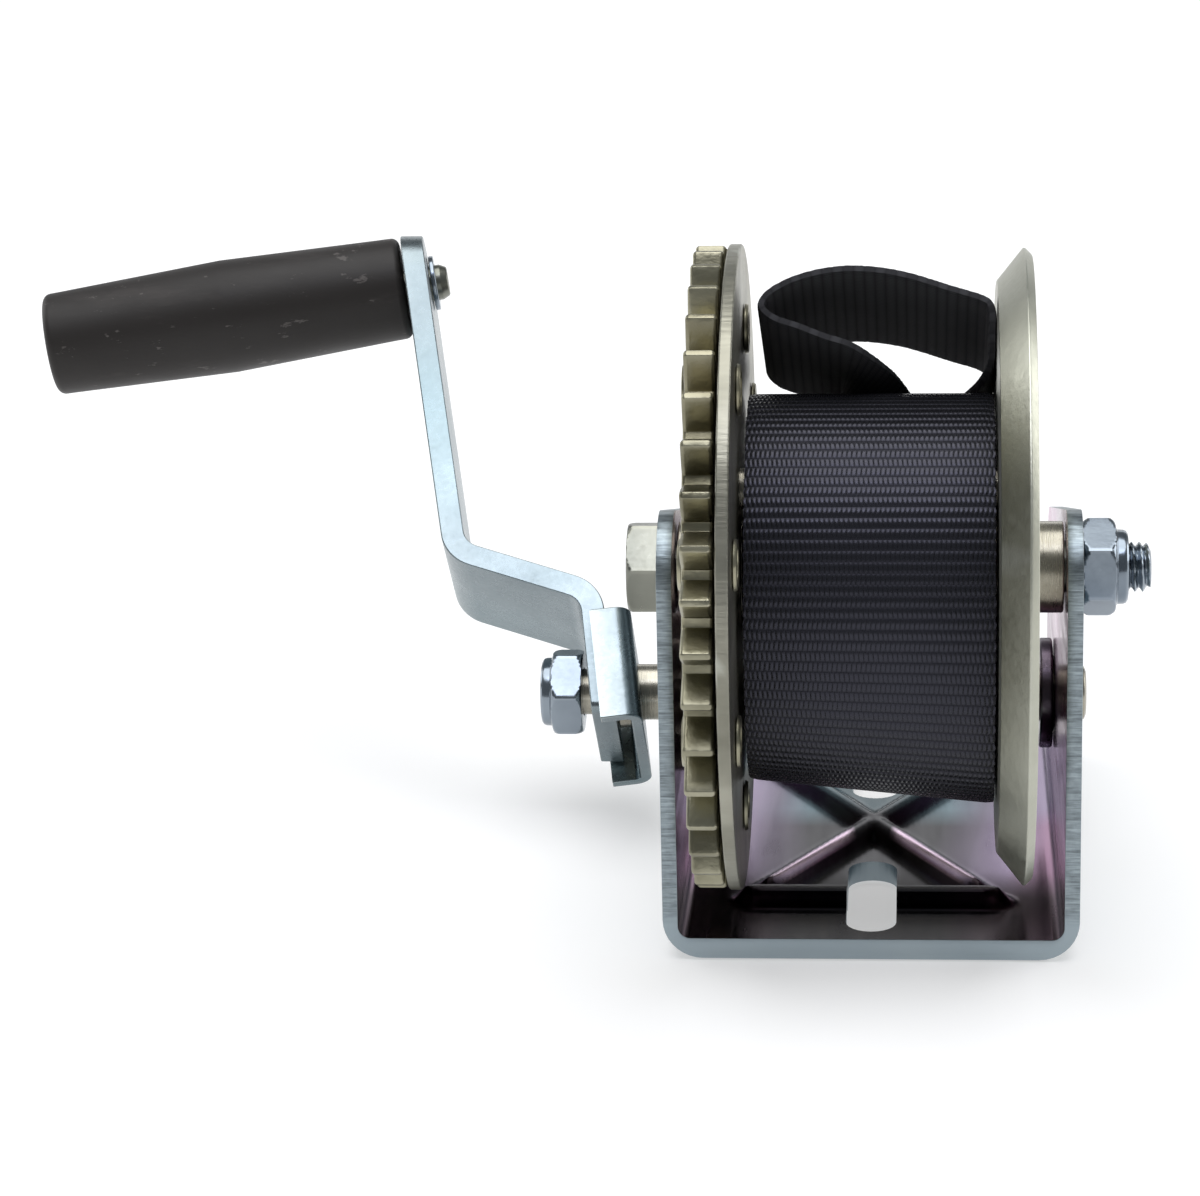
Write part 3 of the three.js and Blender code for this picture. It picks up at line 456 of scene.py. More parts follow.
def rounded(profile, radius, closed, steps=3):
    """Polyline with its corners replaced by arcs."""
    points = [Vector(p) for p in profile]
    if closed and (points[0] - points[-1]).length < 1e-6:
        points.pop()
    count = len(points)
    result = []
    for i, point in enumerate(points):
        if not closed and i in (0, count - 1):
            result.append(point)
            continue
        before, after = points[i - 1] - point, points[(i + 1) % count] - point
        angle = before.angle(after, math.pi)
        if angle > math.radians(168) or min(before.length, after.length) < 1e-6:
            result.append(point)
            continue
        reach = min(radius / math.tan(angle / 2), before.length * 0.45, after.length * 0.45)
        start, end = point + before.normalized() * reach, point + after.normalized() * reach
        for k in range(steps + 1):
            t = k / steps
            result.append(start * (1 - t) ** 2 + point * 2 * t * (1 - t) + end * t ** 2)
    return result


def revolved(name, stations, segments, reach, closed=False):
    """Mesh about X from (x, radius) stations, `reach(radius, angle)` from the axis."""
    rings, verts, faces = [], [], []
    for x, r in stations:
        if r < 1e-6:
            rings.append([len(verts)])
            verts.append((x, 0, 0))
            continue
        rings.append(list(range(len(verts), len(verts) + segments)))
        for k in range(segments):
            a = 2 * math.pi * k / segments
            out = reach(r, a)
            verts.append((x, out * math.cos(a), out * math.sin(a)))
    pairs = list(zip(rings, rings[1:])) + ([(rings[-1], rings[0])] if closed else [])
    for a, b in pairs:
        for k in range(segments):
            n = (k + 1) % segments
            quad = [a[k % len(a)], a[n % len(a)], b[n % len(b)], b[k % len(b)]]
            face = list(dict.fromkeys(quad))
            if len(face) > 2:
                faces.append(face)
    return new_mesh(name, verts, faces)


def turned(name, profile, matrix, segments=64, radius=0.25, closed=False, smooth=35):
    """Revolves (x, radius) points about X, with rounded corners."""
    mesh = revolved(name, rounded(profile, radius, closed), segments, lambda r, a: r, closed)
    return finish_mesh(name, mesh, matrix, smooth)


AXES_X = Matrix(((0, 0, 1, 0), (1, 0, 0, 0), (0, 1, 0, 0), (0, 0, 0, 1)))  # drawn (Y, Z), pushed along X
AXES_Y = Matrix(((1, 0, 0, 0), (0, 0, -1, 0), (0, 1, 0, 0), (0, 0, 0, 1)))  # drawn (X, Z), pushed along Y
AXES_Z = Matrix.Identity(4)


def slab(name, outline, holes, low, high, matrix, axes=AXES_X, bevel=0.3, smooth=35, steps=2):
    """Extrudes an outline with holes between two levels, all its face edges rounded over."""
    curve = bpy.data.curves.new(name, "CURVE")
    curve.dimensions = "2D"
    curve.fill_mode = "BOTH"
    for loop in [outline, *holes]:
        spline = curve.splines.new("POLY")
        spline.points.add(len(loop) - 1)
        for spot, p in zip(spline.points, loop):
            spot.co = (p[0], p[1], 0, 1)
        spline.use_cyclic_u = True
    curve.extrude = (high - low) / 2 - bevel
    curve.bevel_depth = bevel
    curve.bevel_resolution = steps
    curve.offset = -bevel
    shape = added(name, curve)
    mesh = baked(shape)
    bpy.data.objects.remove(shape)
    bpy.data.curves.remove(curve)
    level = Matrix.Translation((0, 0, (low + high) / 2))
    return finish_mesh(name, mesh, matrix @ axes @ level, smooth, weld=2e-6)


def rod_cutter(x0, x1, r, matrix, segments):
    return turned("cutter", [(x0, 0), (x0, r), (x1, r), (x1, 0)], matrix, segments, 0)


def tube(name, x0, x1, inner, outer, matrix, segments, radius):
    profile = [(x0, inner), (x0, outer), (x1, outer), (x1, inner)]
    return turned(name, profile, matrix, segments, radius, closed=True)


def ring_points(r, count, y=0.0, z=0.0):
    return [(y + r * math.cos(2 * math.pi * k / count), z + r * math.sin(2 * math.pi * k / count))
            for k in range(count)]


def cut(piece, cutters):
    """Subtracts the cutters from a piece and removes them."""
    for cutter in cutters:
        change = piece.modifiers.new("cut", "BOOLEAN")
        change.object = cutter
        change.operation = "DIFFERENCE"
        change.solver = "EXACT"
    mesh = baked(piece)
    piece.modifiers.clear()
    piece.data = mesh
    for cutter in cutters:
        bpy.data.objects.remove(cutter)
    work = bmesh.new()
    work.from_mesh(mesh)
    for edge in work.edges:
        if edge.is_manifold and edge.calc_face_angle(0) > SHARP:
            edge.smooth = False
    work.to_mesh(mesh)
    work.free()
    return piece


# ---- frame ----

SHEET = 3.0
BASE_SHEET = 4.2
BEND = 8.0
BEND_INNER = 2.5
PLATE_FRONT = (-49.5, 75.0, 13.0)
PLATE_SLOPE = math.radians(15.4)
PLATE_BACK_R = 9.0
RIB_RISE = 2.9
SLOT_Y, SLOT_HALF, SLOT_R = 38.8, 19.5, 5.0
BOLT_HOLE, BUSH_HOLE, PAWL_HOLE = 5.2, 8.2, 3.3
SHARP = math.radians(35)


def plate_top(y, high):
    """Height of a side plate's top edge at y."""
    cy, cz, r = PLATE_FRONT
    n = Vector((math.sin(PLATE_SLOPE), math.cos(PLATE_SLOPE)))
    touch = Vector((cy, cz)) + n * r
    line = touch.y - (y - touch.x) * math.tan(PLATE_SLOPE)
    if y < touch.x:
        return cz + math.sqrt(max(0.0, r * r - (y - cy) ** 2))
    back_y = high - PLATE_BACK_R
    back_z = touch.y - (back_y - touch.x) * math.tan(PLATE_SLOPE) - PLATE_BACK_R / math.cos(PLATE_SLOPE)
    if y > back_y + PLATE_BACK_R * n.x:
        return back_z + math.sqrt(max(0.0, PLATE_BACK_R ** 2 - (y - back_y) ** 2))
    return line


def plate_rows(high):
    """Stations along Y, close together where the plate's corners turn."""
    cy, _, r = PLATE_FRONT
    front = [cy - r * math.cos(a * math.pi / 28) for a in range(0, 14)]
    back_y = high - PLATE_BACK_R
    back = [back_y + PLATE_BACK_R * math.sin(a * math.pi / 24) for a in range(2, 13)]
    middle = []
    y = front[-1] + 1.1
    while y < back[0] - 0.8:
        middle.append(y)
        y += 1.1
    return front + middle + back


def ease(share):
    s = max(0.0, min(1.0, share))
    return s * s * (3 - 2 * s)


def rib_height(x, y):
    """Pressed ribs of the base: a cross and a bar at each end."""
    def ridge(ax, ay, bx, by, flat, foot):
        along = Vector((bx - ax, by - ay))
        t = max(0.0, min(1.0, (Vector((x - ax, y - ay)).dot(along)) / along.length_squared))
        away = (Vector((x - ax, y - ay)) - along * t).length
        return ease((foot - away) / (foot - flat))
    legs = [ridge(-20, -36, 20, 36, 0.5, 5.2), ridge(-20, 36, 20, -36, 0.5, 5.2)]
    bars = [ridge(-24, side * 41.5, 24, side * 41.5, 1.2, 4.8) for side in (-1, 1)]
    return RIB_RISE * max(legs + bars)


def frame_piece():
    _, high = span("frame")
    out_x = high.x
    flat = out_x - BEND
    flat_in = out_x - SHEET - BEND_INNER
    ys = plate_rows(high.y)
    plates, bends, floors = 22, 9, 64
    columns = [("plate", -1, k / plates) for k in range(plates)]  # (kind, side, share)
    columns += [("bend", -1, k / bends) for k in range(bends)]
    columns += [("floor", 0, k / floors) for k in range(floors + 1)]
    columns += [("bend", 1, 1 - (k + 1) / bends) for k in range(bends)]
    columns += [("plate", 1, 1 - (k + 1) / plates) for k in range(plates)]

    def spot(column, y, inside):
        kind, side, share = column
        if kind == "plate":
            top = plate_top(y, high.y)
            foot = BASE_SHEET + BEND_INNER if inside else BEND
            return (side * (out_x - SHEET * inside), y, top + (foot - top) * share)
        if kind == "bend":
            a = share * math.pi / 2
            if not inside:
                return (side * (flat + BEND * math.cos(a)), y, BEND - BEND * math.sin(a))
            return (side * (flat_in + BEND_INNER * math.cos(a)), y,
                    BASE_SHEET + BEND_INNER - BEND_INNER * math.sin(a))
        if not inside:
            x = -flat + 2 * flat * share
            return (x, y, rib_height(x, y) * 0.92 * press(x, y))
        x = -flat_in + 2 * flat_in * share
        return (x, y, BASE_SHEET + rib_height(x, y))

    def press(x, y):
        """The middle of the underside stays flat."""
        return ease((math.hypot(x, y) - 11) / 5)

    verts, faces, kinds = [], [], []
    wide = len(columns)
    for inside in (0, 1):
        for y in ys:
            verts.extend(spot(c, y, inside) for c in columns)
    layer = wide * len(ys)

    def index(inside, row, col):
        return inside * layer + row * wide + col

    for row in range(len(ys) - 1):
        for col in range(wide - 1):
            quad = [index(0, row, col), index(0, row + 1, col), index(0, row + 1, col + 1), index(0, row, col + 1)]
            faces.append(quad)
            kinds.append(0)
            faces.append([v + layer for v in reversed(quad)])
            kinds.append(1)
    for row in (0, len(ys) - 1):
        for col in range(wide - 1):
            faces.append([index(0, row, col), index(0, row, col + 1), index(1, row, col + 1), index(1, row, col)])
            kinds.append(2)
    for col in (0, wide - 1):
        for row in range(len(ys) - 1):
            faces.append([index(0, row, col), index(0, row + 1, col), index(1, row + 1, col), index(1, row, col)])
            kinds.append(2)
    mesh = new_mesh("frame_sheet", verts, faces)
    mesh.polygons.foreach_set("material_index", kinds)
    work = bmesh.new()
    work.from_mesh(mesh)
    bmesh.ops.recalc_face_normals(work, faces=work.faces)
    rim = [e for e in work.edges if len(e.link_faces) == 2
           and sorted(f.material_index == 2 for f in e.link_faces) == [False, True]]
    bmesh.ops.bevel(work, geom=rim, offset=0.35, segments=2, profile=0.5, affect="EDGES", clamp_overlap=True)
    work.to_mesh(mesh)
    work.free()
    piece = finish_mesh("frame_sheet", mesh, WORLD, 40, weld=1e-7)
    for key in ("frame_zinc", "frame_inside", "frame_edge"):
        piece.data.materials.append(PAINTS[key])
    cutters = [slab("cutter", capsule(SLOT_Y * side, SLOT_HALF, SLOT_R), [], -3, 12, WORLD, AXES_Z, 0.01)
               for side in (-1, 1)]
    cutters += [rod_cutter(-60, 60, BOLT_HOLE, DRUM, 48), rod_cutter(-60, 60, BUSH_HOLE, SHAFT, 48),
                rod_cutter(-60, 0, PAWL_HOLE, PAWL, 32)]
    for cutter in cutters:
        cutter.data.materials.append(PAINTS["frame_edge"])
    piece = cut(piece, cutters)
    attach(piece, "frame")
    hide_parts("frame")


def capsule(y, half, r, steps=12):
    """Long hole along Y, drawn in (X, Y)."""
    points = []
    for k in range(steps + 1):
        a = math.pi * k / steps
        points.append((r * math.cos(a), y + half - r + r * math.sin(a)))
    for k in range(steps + 1):
        a = math.pi + math.pi * k / steps
        points.append((r * math.cos(a), y - half + r + r * math.sin(a)))
    return points


# ---- gears ----

MODULE = 3.0
GEAR_TEETH, GEAR_TIP, GEAR_ROOT = 40, 63.2, 56.2
PINION_TEETH, PINION_TIP, PINION_ROOT = 10, 17.6, 11.2
HUB_BORE, RIVET_BORE, RIVETS = 12.3, 4.3, 8
PRESSURE = math.radians(25)
BACKLASH = 0.5


def involute(a):
    return math.tan(a) - a


def gear_outline(teeth, tip, root, phase, undercut=0.0, soft=0.5):
    """Involute gear with rounded tips and root corners, one tooth centred on `phase`."""
    pitch = MODULE * teeth / 2
    base = pitch * math.cos(PRESSURE)
    at_pitch = math.pi / 2 / teeth - BACKLASH / 4 / pitch + involute(PRESSURE)

    def half(r):
        if r < base:
            return at_pitch - undercut * (base - r) / base
        return at_pitch - involute(math.acos(base / r))

    start = max(base, root + 0.8)
    radii = [root] + [start + (tip - start) * t for t in (0, 0.3, 0.6, 0.85, 1)]
    points = []
    for k in range(teeth):
        centre = phase + 2 * math.pi * k / teeth
        side = [(r * math.cos(centre - half(r)), r * math.sin(centre - half(r))) for r in radii]
        side += [(r * math.cos(centre + half(r)), r * math.sin(centre + half(r))) for r in reversed(radii)]
        points += side
    return [tuple(p) for p in rounded([Vector(p) for p in points], soft, True, 2)]


def drum_spot(node):
    """(Y, Z) of a CAD node's middle about the drum axis."""
    low, high = span(node)
    middle = (low + high) / 2 - DRUM_AXIS / MM
    return middle.y, middle.z


def rivet_spots():
    return [drum_spot(f"flange_rivet_{k + 1}") for k in range(RIVETS)]


def mesh_angle():
    line = SHAFT_AXIS - DRUM_AXIS
    return math.atan2(line.z, line.y)


def gear_pieces():
    low, high = span("drum_gear")
    holes = [ring_points(HUB_BORE, 48)] + [ring_points(RIVET_BORE, 24, *spot) for spot in rivet_spots()]
    outline = gear_outline(GEAR_TEETH, GEAR_TIP, GEAR_ROOT, mesh_angle())
    gear = slab("drum_gear_wheel", outline, holes, low.x, high.x, DRUM, bevel=0.8, smooth=30, steps=3)
    dress(gear, "drum", "gear_zinc", "drum_gear")


# ---- drum ----

def flange_pieces():
    low, high = span("left_flange")
    anchor = drum_spot("strap_anchor_pin")
    holes = [ring_points(HUB_BORE, 48), ring_points(RIVET_BORE, 24, *anchor)]
    holes += [ring_points(RIVET_BORE, 24, *spot) for spot in rivet_spots()]
    left = slab("left_flange_disc", ring_points(63.5, 180), holes, low.x, high.x, DRUM, bevel=0.4)
    dress(left, "drum", "flange_zinc", "left_flange", ["rim_zinc"])
    low, high = span("right_flange")
    x0, sheet, flat, rim, flare = low.x, 2.4, 57.0, 62.6, 5.3
    slant = sheet * math.sqrt(0.5)
    profile = [(x0, HUB_BORE), (x0, flat - 1.0), (x0 + flare, rim), (x0 + flare + slant, rim - slant),
               (x0 + sheet, flat - 2.0), (x0 + sheet, HUB_BORE)]
    right = turned("right_flange_disc", profile, DRUM, 180, 0.45, closed=True)
    hole = rod_cutter(20, 32, RIVET_BORE, DRUM @ Matrix.Translation((0, *anchor)), 32)
    dress(cut(right, [hole]), "drum", "flange_zinc", "right_flange")


def rivet_pieces():
    low, high = span("flange_rivet_1")
    for k, spot in enumerate(rivet_spots()):
        at = DRUM @ Matrix.Translation((0, *spot))
        profile = [(low.x, 3.4), (low.x, 4.7), (low.x + 0.8, 5.1), (low.x + 0.8, 4.0),
                   (high.x - 0.8, 4.0), (high.x - 0.8, 5.1), (high.x, 4.7), (high.x, 3.4),
                   (high.x - 1.6, 2.8), (low.x + 1.6, 2.8)]
        rivet = turned(f"eyelet_rivet_{k + 1}", profile, at, 32, 0.25, closed=True)
        dress(rivet, "drum", "gear_zinc", f"flange_rivet_{k + 1}")


def core_pieces():
    low, high = span("drum_core")
    left, right = -24.6, 24.3
    profile = [(low.x, 9.4), (low.x, 12), (left, 12), (left, 15), (right, 15), (right, 12), (high.x, 12),
               (high.x, 9.4)]
    core = turned("drum_core_tube", profile, DRUM, 64, 0.3, closed=True)
    dress(core, "drum", "turned_steel", "drum_core")
    low, high = span("drum_spacer_tube")
    spacer = tube("drum_spacer", low.x, high.x, BOLT_HOLE, 9, DRUM, 64, 0.4)
    dress(spacer, "frame", "turned_steel", "drum_spacer_tube")
    low, high = span("strap_anchor_pin")
    at = DRUM @ Matrix.Translation((0, *drum_spot("strap_anchor_pin")))
    pin = turned("strap_anchor", [(low.x, 0), (low.x, 4), (high.x, 4), (high.x, 0)], at, 32, 0.6)
    dress(pin, "drum", "turned_steel", "strap_anchor_pin")


# ---- strap ----

STRAP_THICK = 1.6
TAIL_TILT = math.radians(60)
LEFT_EDGE, RIGHT_EDGE = -23.5, 24.0
TAIL_LENGTH = 140.0  # loose end, from its tip to where it lies down on the roll

# Stations of the strap's two edges about the drum axis, the loose end first. The flat tail's are
# (x, out), `out` along the tilt direction; its edges lie 24 mm to either side.
TAIL_STATIONS = [
    (16.0, 49.6), (5.8, 52.8), (-3.7, 53.9), (-12.0, 52.7), (-18.3, 50.0), (-21.0, 46.9), (-18.8, 44.2),
    (-13.8, 42.3), (-8.9, 40.3),
]
# The tucked end folds back beside the right flange: ((x, out, across), (x, out, across)), one
# for each edge, `across` towards the front.
TUCK_STATIONS = [
    ((18.5, 35.0, -2.0), (8.0, 36.0, -46.0)),
    ((22.0, 35.6, 9.0), (15.5, 37.5, -38.0)),
    ((23.6, 37.4, 16.5), (21.0, 39.0, -31.5)),
    ((23.7, 41.5, 21.5), (23.6, 41.8, -26.5)),
    ((23.6, 45.6, 24.0), (23.6, 45.6, -24.0)),
    ((22.0, 47.6, 24.0), (22.0, 47.6, -24.0)),
]
# Round stations are ((x, r, degrees), (x, r, degrees)) for the two edges, degrees from +Y to +Z.
WRAP_STATIONS = [
    ((-3.5, 45.3, 92), (-6.0, 44.9, 29)),
    ((1.5, 40.8, 84), (-10.5, 45.5, 19)),
    ((5.2, 37.6, 70), (-15.5, 44.5, 6)),
    ((7.8, 36.6, 54), (-20.0, 42.5, -5)),
    ((11.5, 36.8, 34), (-22.6, 41.0, -17)),
    ((16.5, 36.6, 14), (-23.3, 39.5, -30)),
    ((21.0, 36.6, -8), (LEFT_EDGE, 38.2, -38)),
    ((23.5, 37.2, -28), (LEFT_EDGE, 37.8, -50)),
    ((24.0, 38.8, -50), (LEFT_EDGE, 38.2, -62)),
    ((24.0, 42.0, -72), (LEFT_EDGE, 39.5, -77)),
]
# Further round both edges have the same angle: (right r, left r, degrees).
LEVEL_STATIONS = [
    (45.0, 40.9, -92), (45.6, 41.0, -107), (43.5, 39.6, -126), (39.5, 37.0, -148), (35.6, 34.9, -172),
    (33.9, 33.8, -196), (33.5, 33.5, -220), (33.5, 33.5, -245), (33.5, 33.5, -270), (33.3, 33.3, -296),
    (33.0, 33.0, -318),
]


def polar(x, r, degrees):
    a = math.radians(degrees)
    return Vector((x, r * math.cos(a), r * math.sin(a)))


def strap_edges():
    """Listed stations of both edges, outer face, as drum-frame points."""
    out = Vector((0, math.cos(TAIL_TILT), math.sin(TAIL_TILT)))
    across = Vector((0, -math.sin(TAIL_TILT), math.cos(TAIL_TILT)))
    first = [Vector((x, 0, 0)) + out * reach + across * t for (x, reach, t), _ in TUCK_STATIONS]
    second = [Vector((x, 0, 0)) + out * reach + across * t for _, (x, reach, t) in TUCK_STATIONS]
    for x, reach in TAIL_STATIONS:
        middle = Vector((x, 0, 0)) + out * reach
        first.append(middle + across * 24)
        second.append(middle - across * 24)
    level = [((RIGHT_EDGE, r, turn), (LEFT_EDGE, q, turn)) for r, q, turn in LEVEL_STATIONS]
    for a, b in WRAP_STATIONS + level:
        first.append(polar(*a))
        second.append(polar(*b))
    return first, second


def spline(points, t):
    """Catmull-Rom point at t, in stations."""
    i = min(int(t), len(points) - 2)
    u = t - i
    p1, p2 = points[i], points[i + 1]
    p0 = points[i - 1] if i > 0 else p1 * 2 - p2
    p3 = points[i + 2] if i + 2 < len(points) else p2 * 2 - p1
    return 0.5 * (p1 * 2 + (p2 - p0) * u + (p0 * 2 - p1 * 5 + p2 * 4 - p3) * u * u
                  + (p1 * 3 - p0 - p2 * 3 + p3) * u ** 3)


def even_rows(first, second, step):
    """Pairs of edge points spaced evenly along the strap's centre line."""
    fine = []
    total = 0.0
    count = 60 * (len(first) - 1)
    last = None
    for k in range(count + 1):
        t = min(k / 60, len(first) - 1 - 1e-6)
        a, b = spline(first, t), spline(second, t)
        middle = (a + b) / 2
        if last is not None:
            total += (middle - last).length
        last = middle
        fine.append((total, a, b))
    rows = []
    i = 0
    for n in range(int(total / step) + 1):
        want = n * step
        while i < len(fine) - 2 and fine[i + 1][0] < want:
            i += 1
        d0, a0, b0 = fine[i]
        d1, a1, b1 = fine[i + 1]
        u = (want - d0) / max(1e-9, d1 - d0)
        rows.append((a0.lerp(a1, u), b0.lerp(b1, u)))
    return rows, total


def strap_sheet():
    first, second = strap_edges()
    step = RIB / 4
    rows, length = even_rows(first, second, step)
    columns = 34
    grid = [[a.lerp(b, c / columns) for c in range(columns + 1)] for a, b in rows]
    tall, wide = len(grid), columns + 1
    verts = [None] * (2 * tall * wide)
    rng = random.Random(5)
    wobble = [rng.uniform(-0.08, 0.08) for _ in range(tall)]
    for r in range(tall):
        ahead = grid[min(r + 1, tall - 1)]
        behind = grid[max(r - 1, 0)]
        for c in range(wide):
            along = ahead[c] - behind[c]
            over = grid[r][min(c + 1, columns)] - grid[r][max(c - 1, 0)]
            normal = along.cross(over).normalized()
            v = r * step
            rib = abs(math.sin(math.pi * v / RIB)) ** 0.6 * (0.045 if v > TAIL_LENGTH else 0.02)
            side = min(c, columns - c) / columns
            thin = STRAP_THICK / 2 * (1 - 0.3 * math.exp(-side * 90))
            edge = wobble[r] * math.exp(-side * 40) + (rib - 0.02) * math.exp(-side * 30) * 4
            out = (grid[r][c] - grid[r][columns // 2]).normalized() * edge if c != columns // 2 else Vector()
            for layer, sign in ((0, 1), (1, -1)):
                verts[(layer * tall + r) * wide + c] = grid[r][c] + normal * sign * (thin + rib - 0.02) + out

    def index(layer, r, c):
        return (layer * tall + r) * wide + c

    faces = []
    for r in range(tall - 1):
        for c in range(columns):
            quad = [index(0, r, c), index(0, r + 1, c), index(0, r + 1, c + 1), index(0, r, c + 1)]
            faces.append(quad)
            faces.append([v + tall * wide for v in reversed(quad)])
        for c in (0, columns):
            faces.append([index(0, r, c), index(0, r + 1, c), index(1, r + 1, c), index(1, r, c)])
    for r in (0, tall - 1):
        for c in range(columns):
            faces.append([index(0, r, c), index(0, r, c + 1), index(1, r, c + 1), index(1, r, c)])
    mesh = new_mesh("strap_outer_wrap", verts, faces)
    uv = mesh.uv_layers.new(name="weave")
    for loop in mesh.loops:
        c = loop.vertex_index % wide
        r = (loop.vertex_index // wide) % tall
        uv.data[loop.index].uv = (c / columns * 48, r * step)
    piece = finish_mesh("strap_outer_wrap", mesh, DRUM, 60, weld=1e-8)
    # the tail's faces take the lighter, painted-light copy of the webbing
    free_end = TAIL_LENGTH / length
    for face in piece.data.polygons:
        share = sum((v // wide) % tall for v in face.vertices) / len(face.vertices) / tall
        face.material_index = 1 if share < free_end else 0
    dress(piece, "drum", "webbing", "strap_tail", ["webbing", "webbing_tail_painted_light"])


def strap_winding():
    """Inner turns of the strap under the outer wrap, their layers showing at both ends."""
    inner, outer, layers = 15.4, 31.6, 10
    pitch = (outer - inner) / layers
    profile = [(LEFT_EDGE + 0.4, inner)]
    for k in range(layers):
        r = inner + k * pitch
        profile += [(LEFT_EDGE + 0.5, r + pitch * 0.05), (LEFT_EDGE, r + pitch * 0.3), (LEFT_EDGE, r + pitch * 0.7)]
    profile += [(LEFT_EDGE + 0.4, outer), (RIGHT_EDGE - 0.4, outer)]
    for k in reversed(range(layers)):
        r = inner + k * pitch
        profile += [(RIGHT_EDGE, r + pitch * 0.7), (RIGHT_EDGE, r + pitch * 0.3),
                    (RIGHT_EDGE - 0.5, r + pitch * 0.05)]
    profile += [(RIGHT_EDGE - 0.4, inner)]
    piece = turned("strap_winding", profile, DRUM, 128, 0, closed=True, smooth=60)
    uv = piece.data.uv_layers.new(name="weave")
    for loop in piece.data.loops:
        local = (piece.data.vertices[loop.vertex_index].co - DRUM_AXIS) / MM
        uv.data[loop.index].uv = (local.x, math.atan2(local.z, local.y) * outer)
    dress(piece, "drum", "webbing", "strap_roll")


# ---- fasteners ----

def hexagon_profile(theta, flats, phase):
    """Distance from the axis to a hexagon's side."""
    a = (theta - phase) % (math.pi / 3)
    return flats / 2 / math.cos(a - math.pi / 6)


def hex_body(name, stations, flats, matrix, phase=0.0, segments=144):
    """Body about X from (x, radius limit) stations: each ring is the smaller of the limit and the hexagon."""
    mesh = revolved(name, stations, segments, lambda r, a: min(r, hexagon_profile(a, flats, phase)))
    return finish_mesh(name, mesh, matrix, 28, weld=1e-7)


HEX = 17.0
CORNER = HEX / 2 / math.cos(math.pi / 6)
BOLT_R, THREAD_START = 4.95, 45.4


def chamfered(x0, x1, drop=1.5, steps=6, both=True):
    """Radius limits of a hexagon turned down at its rims."""
    flat = HEX / 2 - 0.35
    rise = CORNER + 0.1 - flat
    sign = 1 if x1 > x0 else -1
    rows = [(x0 + sign * drop * t * t, flat + rise * t) for t in [k / steps for k in range(steps + 1)]]
    end = [(x1 - sign * drop * t * t, flat + rise * t) for t in [k / steps for k in range(steps, -1, -1)]]
    return rows + (end if both else [(x1, CORNER + 0.1)])


def thread_piece(name, x0, x1, matrix, body, slot, major=BOLT_R, pitch=1.5, depth=0.85):
    """Threaded length of a bolt as a true helix."""
    segments = 48
    per = 8
    rows = int((x1 - x0) / pitch * per)
    verts, faces = [], []
    for i in range(rows + 1):
        x = x0 + (x1 - x0) * i / rows
        fade = min(1.0, (x1 - x) / 1.1)
        for k in range(segments):
            a = 2 * math.pi * k / segments
            phase = ((x - x0) / pitch - k / segments) % 1.0
            wave = abs(2 * phase - 1)
            wave = min(1.0, max(0.0, wave * 1.25 - 0.1))
            r = major - depth * wave - (1 - fade) * 0.9
            verts.append((x, r * math.cos(a), r * math.sin(a)))
    for i in range(rows):
        for k in range(segments):
            n = (k + 1) % segments
            faces.append([i * segments + k, i * segments + n, (i + 1) * segments + n, (i + 1) * segments + k])
    for row, x in ((0, x0), (rows, x1)):
        centre = len(verts)
        verts.append((x, 0, 0))
        for k in range(segments):
            faces.append([row * segments + k, row * segments + (k + 1) % segments, centre])
    piece = finish_mesh(name, new_mesh(name, verts, faces), matrix, 50, weld=1e-7)
    dress(piece, body, slot, (), ["nut_zinc"])


def lock_nut(name, node, insert, matrix, body, face, sign, phase):
    """Nylon-insert lock nut: chamfered hexagon, rolled collar and the nylon ring inside it."""
    hex_end = face + sign * 6.6
    end = face + sign * 9.0
    rows = [(face, 5.2)] + chamfered(face, hex_end, 1.5)
    rows += [(hex_end + sign * 0.05, 7.7), (hex_end + sign * 0.35, 7.35), (end - sign * 1.0, 7.3),
             (end - sign * 0.45, 7.1), (end - sign * 0.12, 6.7), (end, 6.1), (end - sign * 0.1, 5.75),
             (end - sign * 0.5, 5.6), (end - sign * 2.2, 5.6), (end - sign * 2.2, 5.2), (face, 5.2)]
    nut = hex_body(name, rows, HEX, matrix, phase)
    dress(nut, body, "nut_zinc", node)
    a, b = end - sign * 2.1, end - sign * 0.6
    ring = tube(name + "_nylon", a, b, 5.0, 5.5, matrix, 48, 0.15)
    dress(ring, body, "nylon", insert)


def drum_bolt_pieces():
    low, high = span("drum_bolt")
    head = low.x + 6.4
    rows = [(low.x, 0), (low.x, 4.0)] + chamfered(low.x, head, 1.4, both=False)
    rows += [(head, 5.0), (head + 0.01, BOLT_R), (THREAD_START, BOLT_R), (THREAD_START, 0)]
    bolt = hex_body("drum_bolt_body", rows, HEX, DRUM, math.radians(48))
    dress(bolt, "frame", "bolt_zinc", "drum_bolt")
    thread_piece("drum_bolt_thread", THREAD_START, high.x, DRUM, "frame", "bolt_zinc")
    nut_low, _ = span("drum_lock_nut")
    lock_nut("drum_nut", "drum_lock_nut", "drum_nut_insert", DRUM, "frame", nut_low.x, 1, math.radians(24.5))


# ---- pinion shaft ----

SHAFT_BORE = 6.2


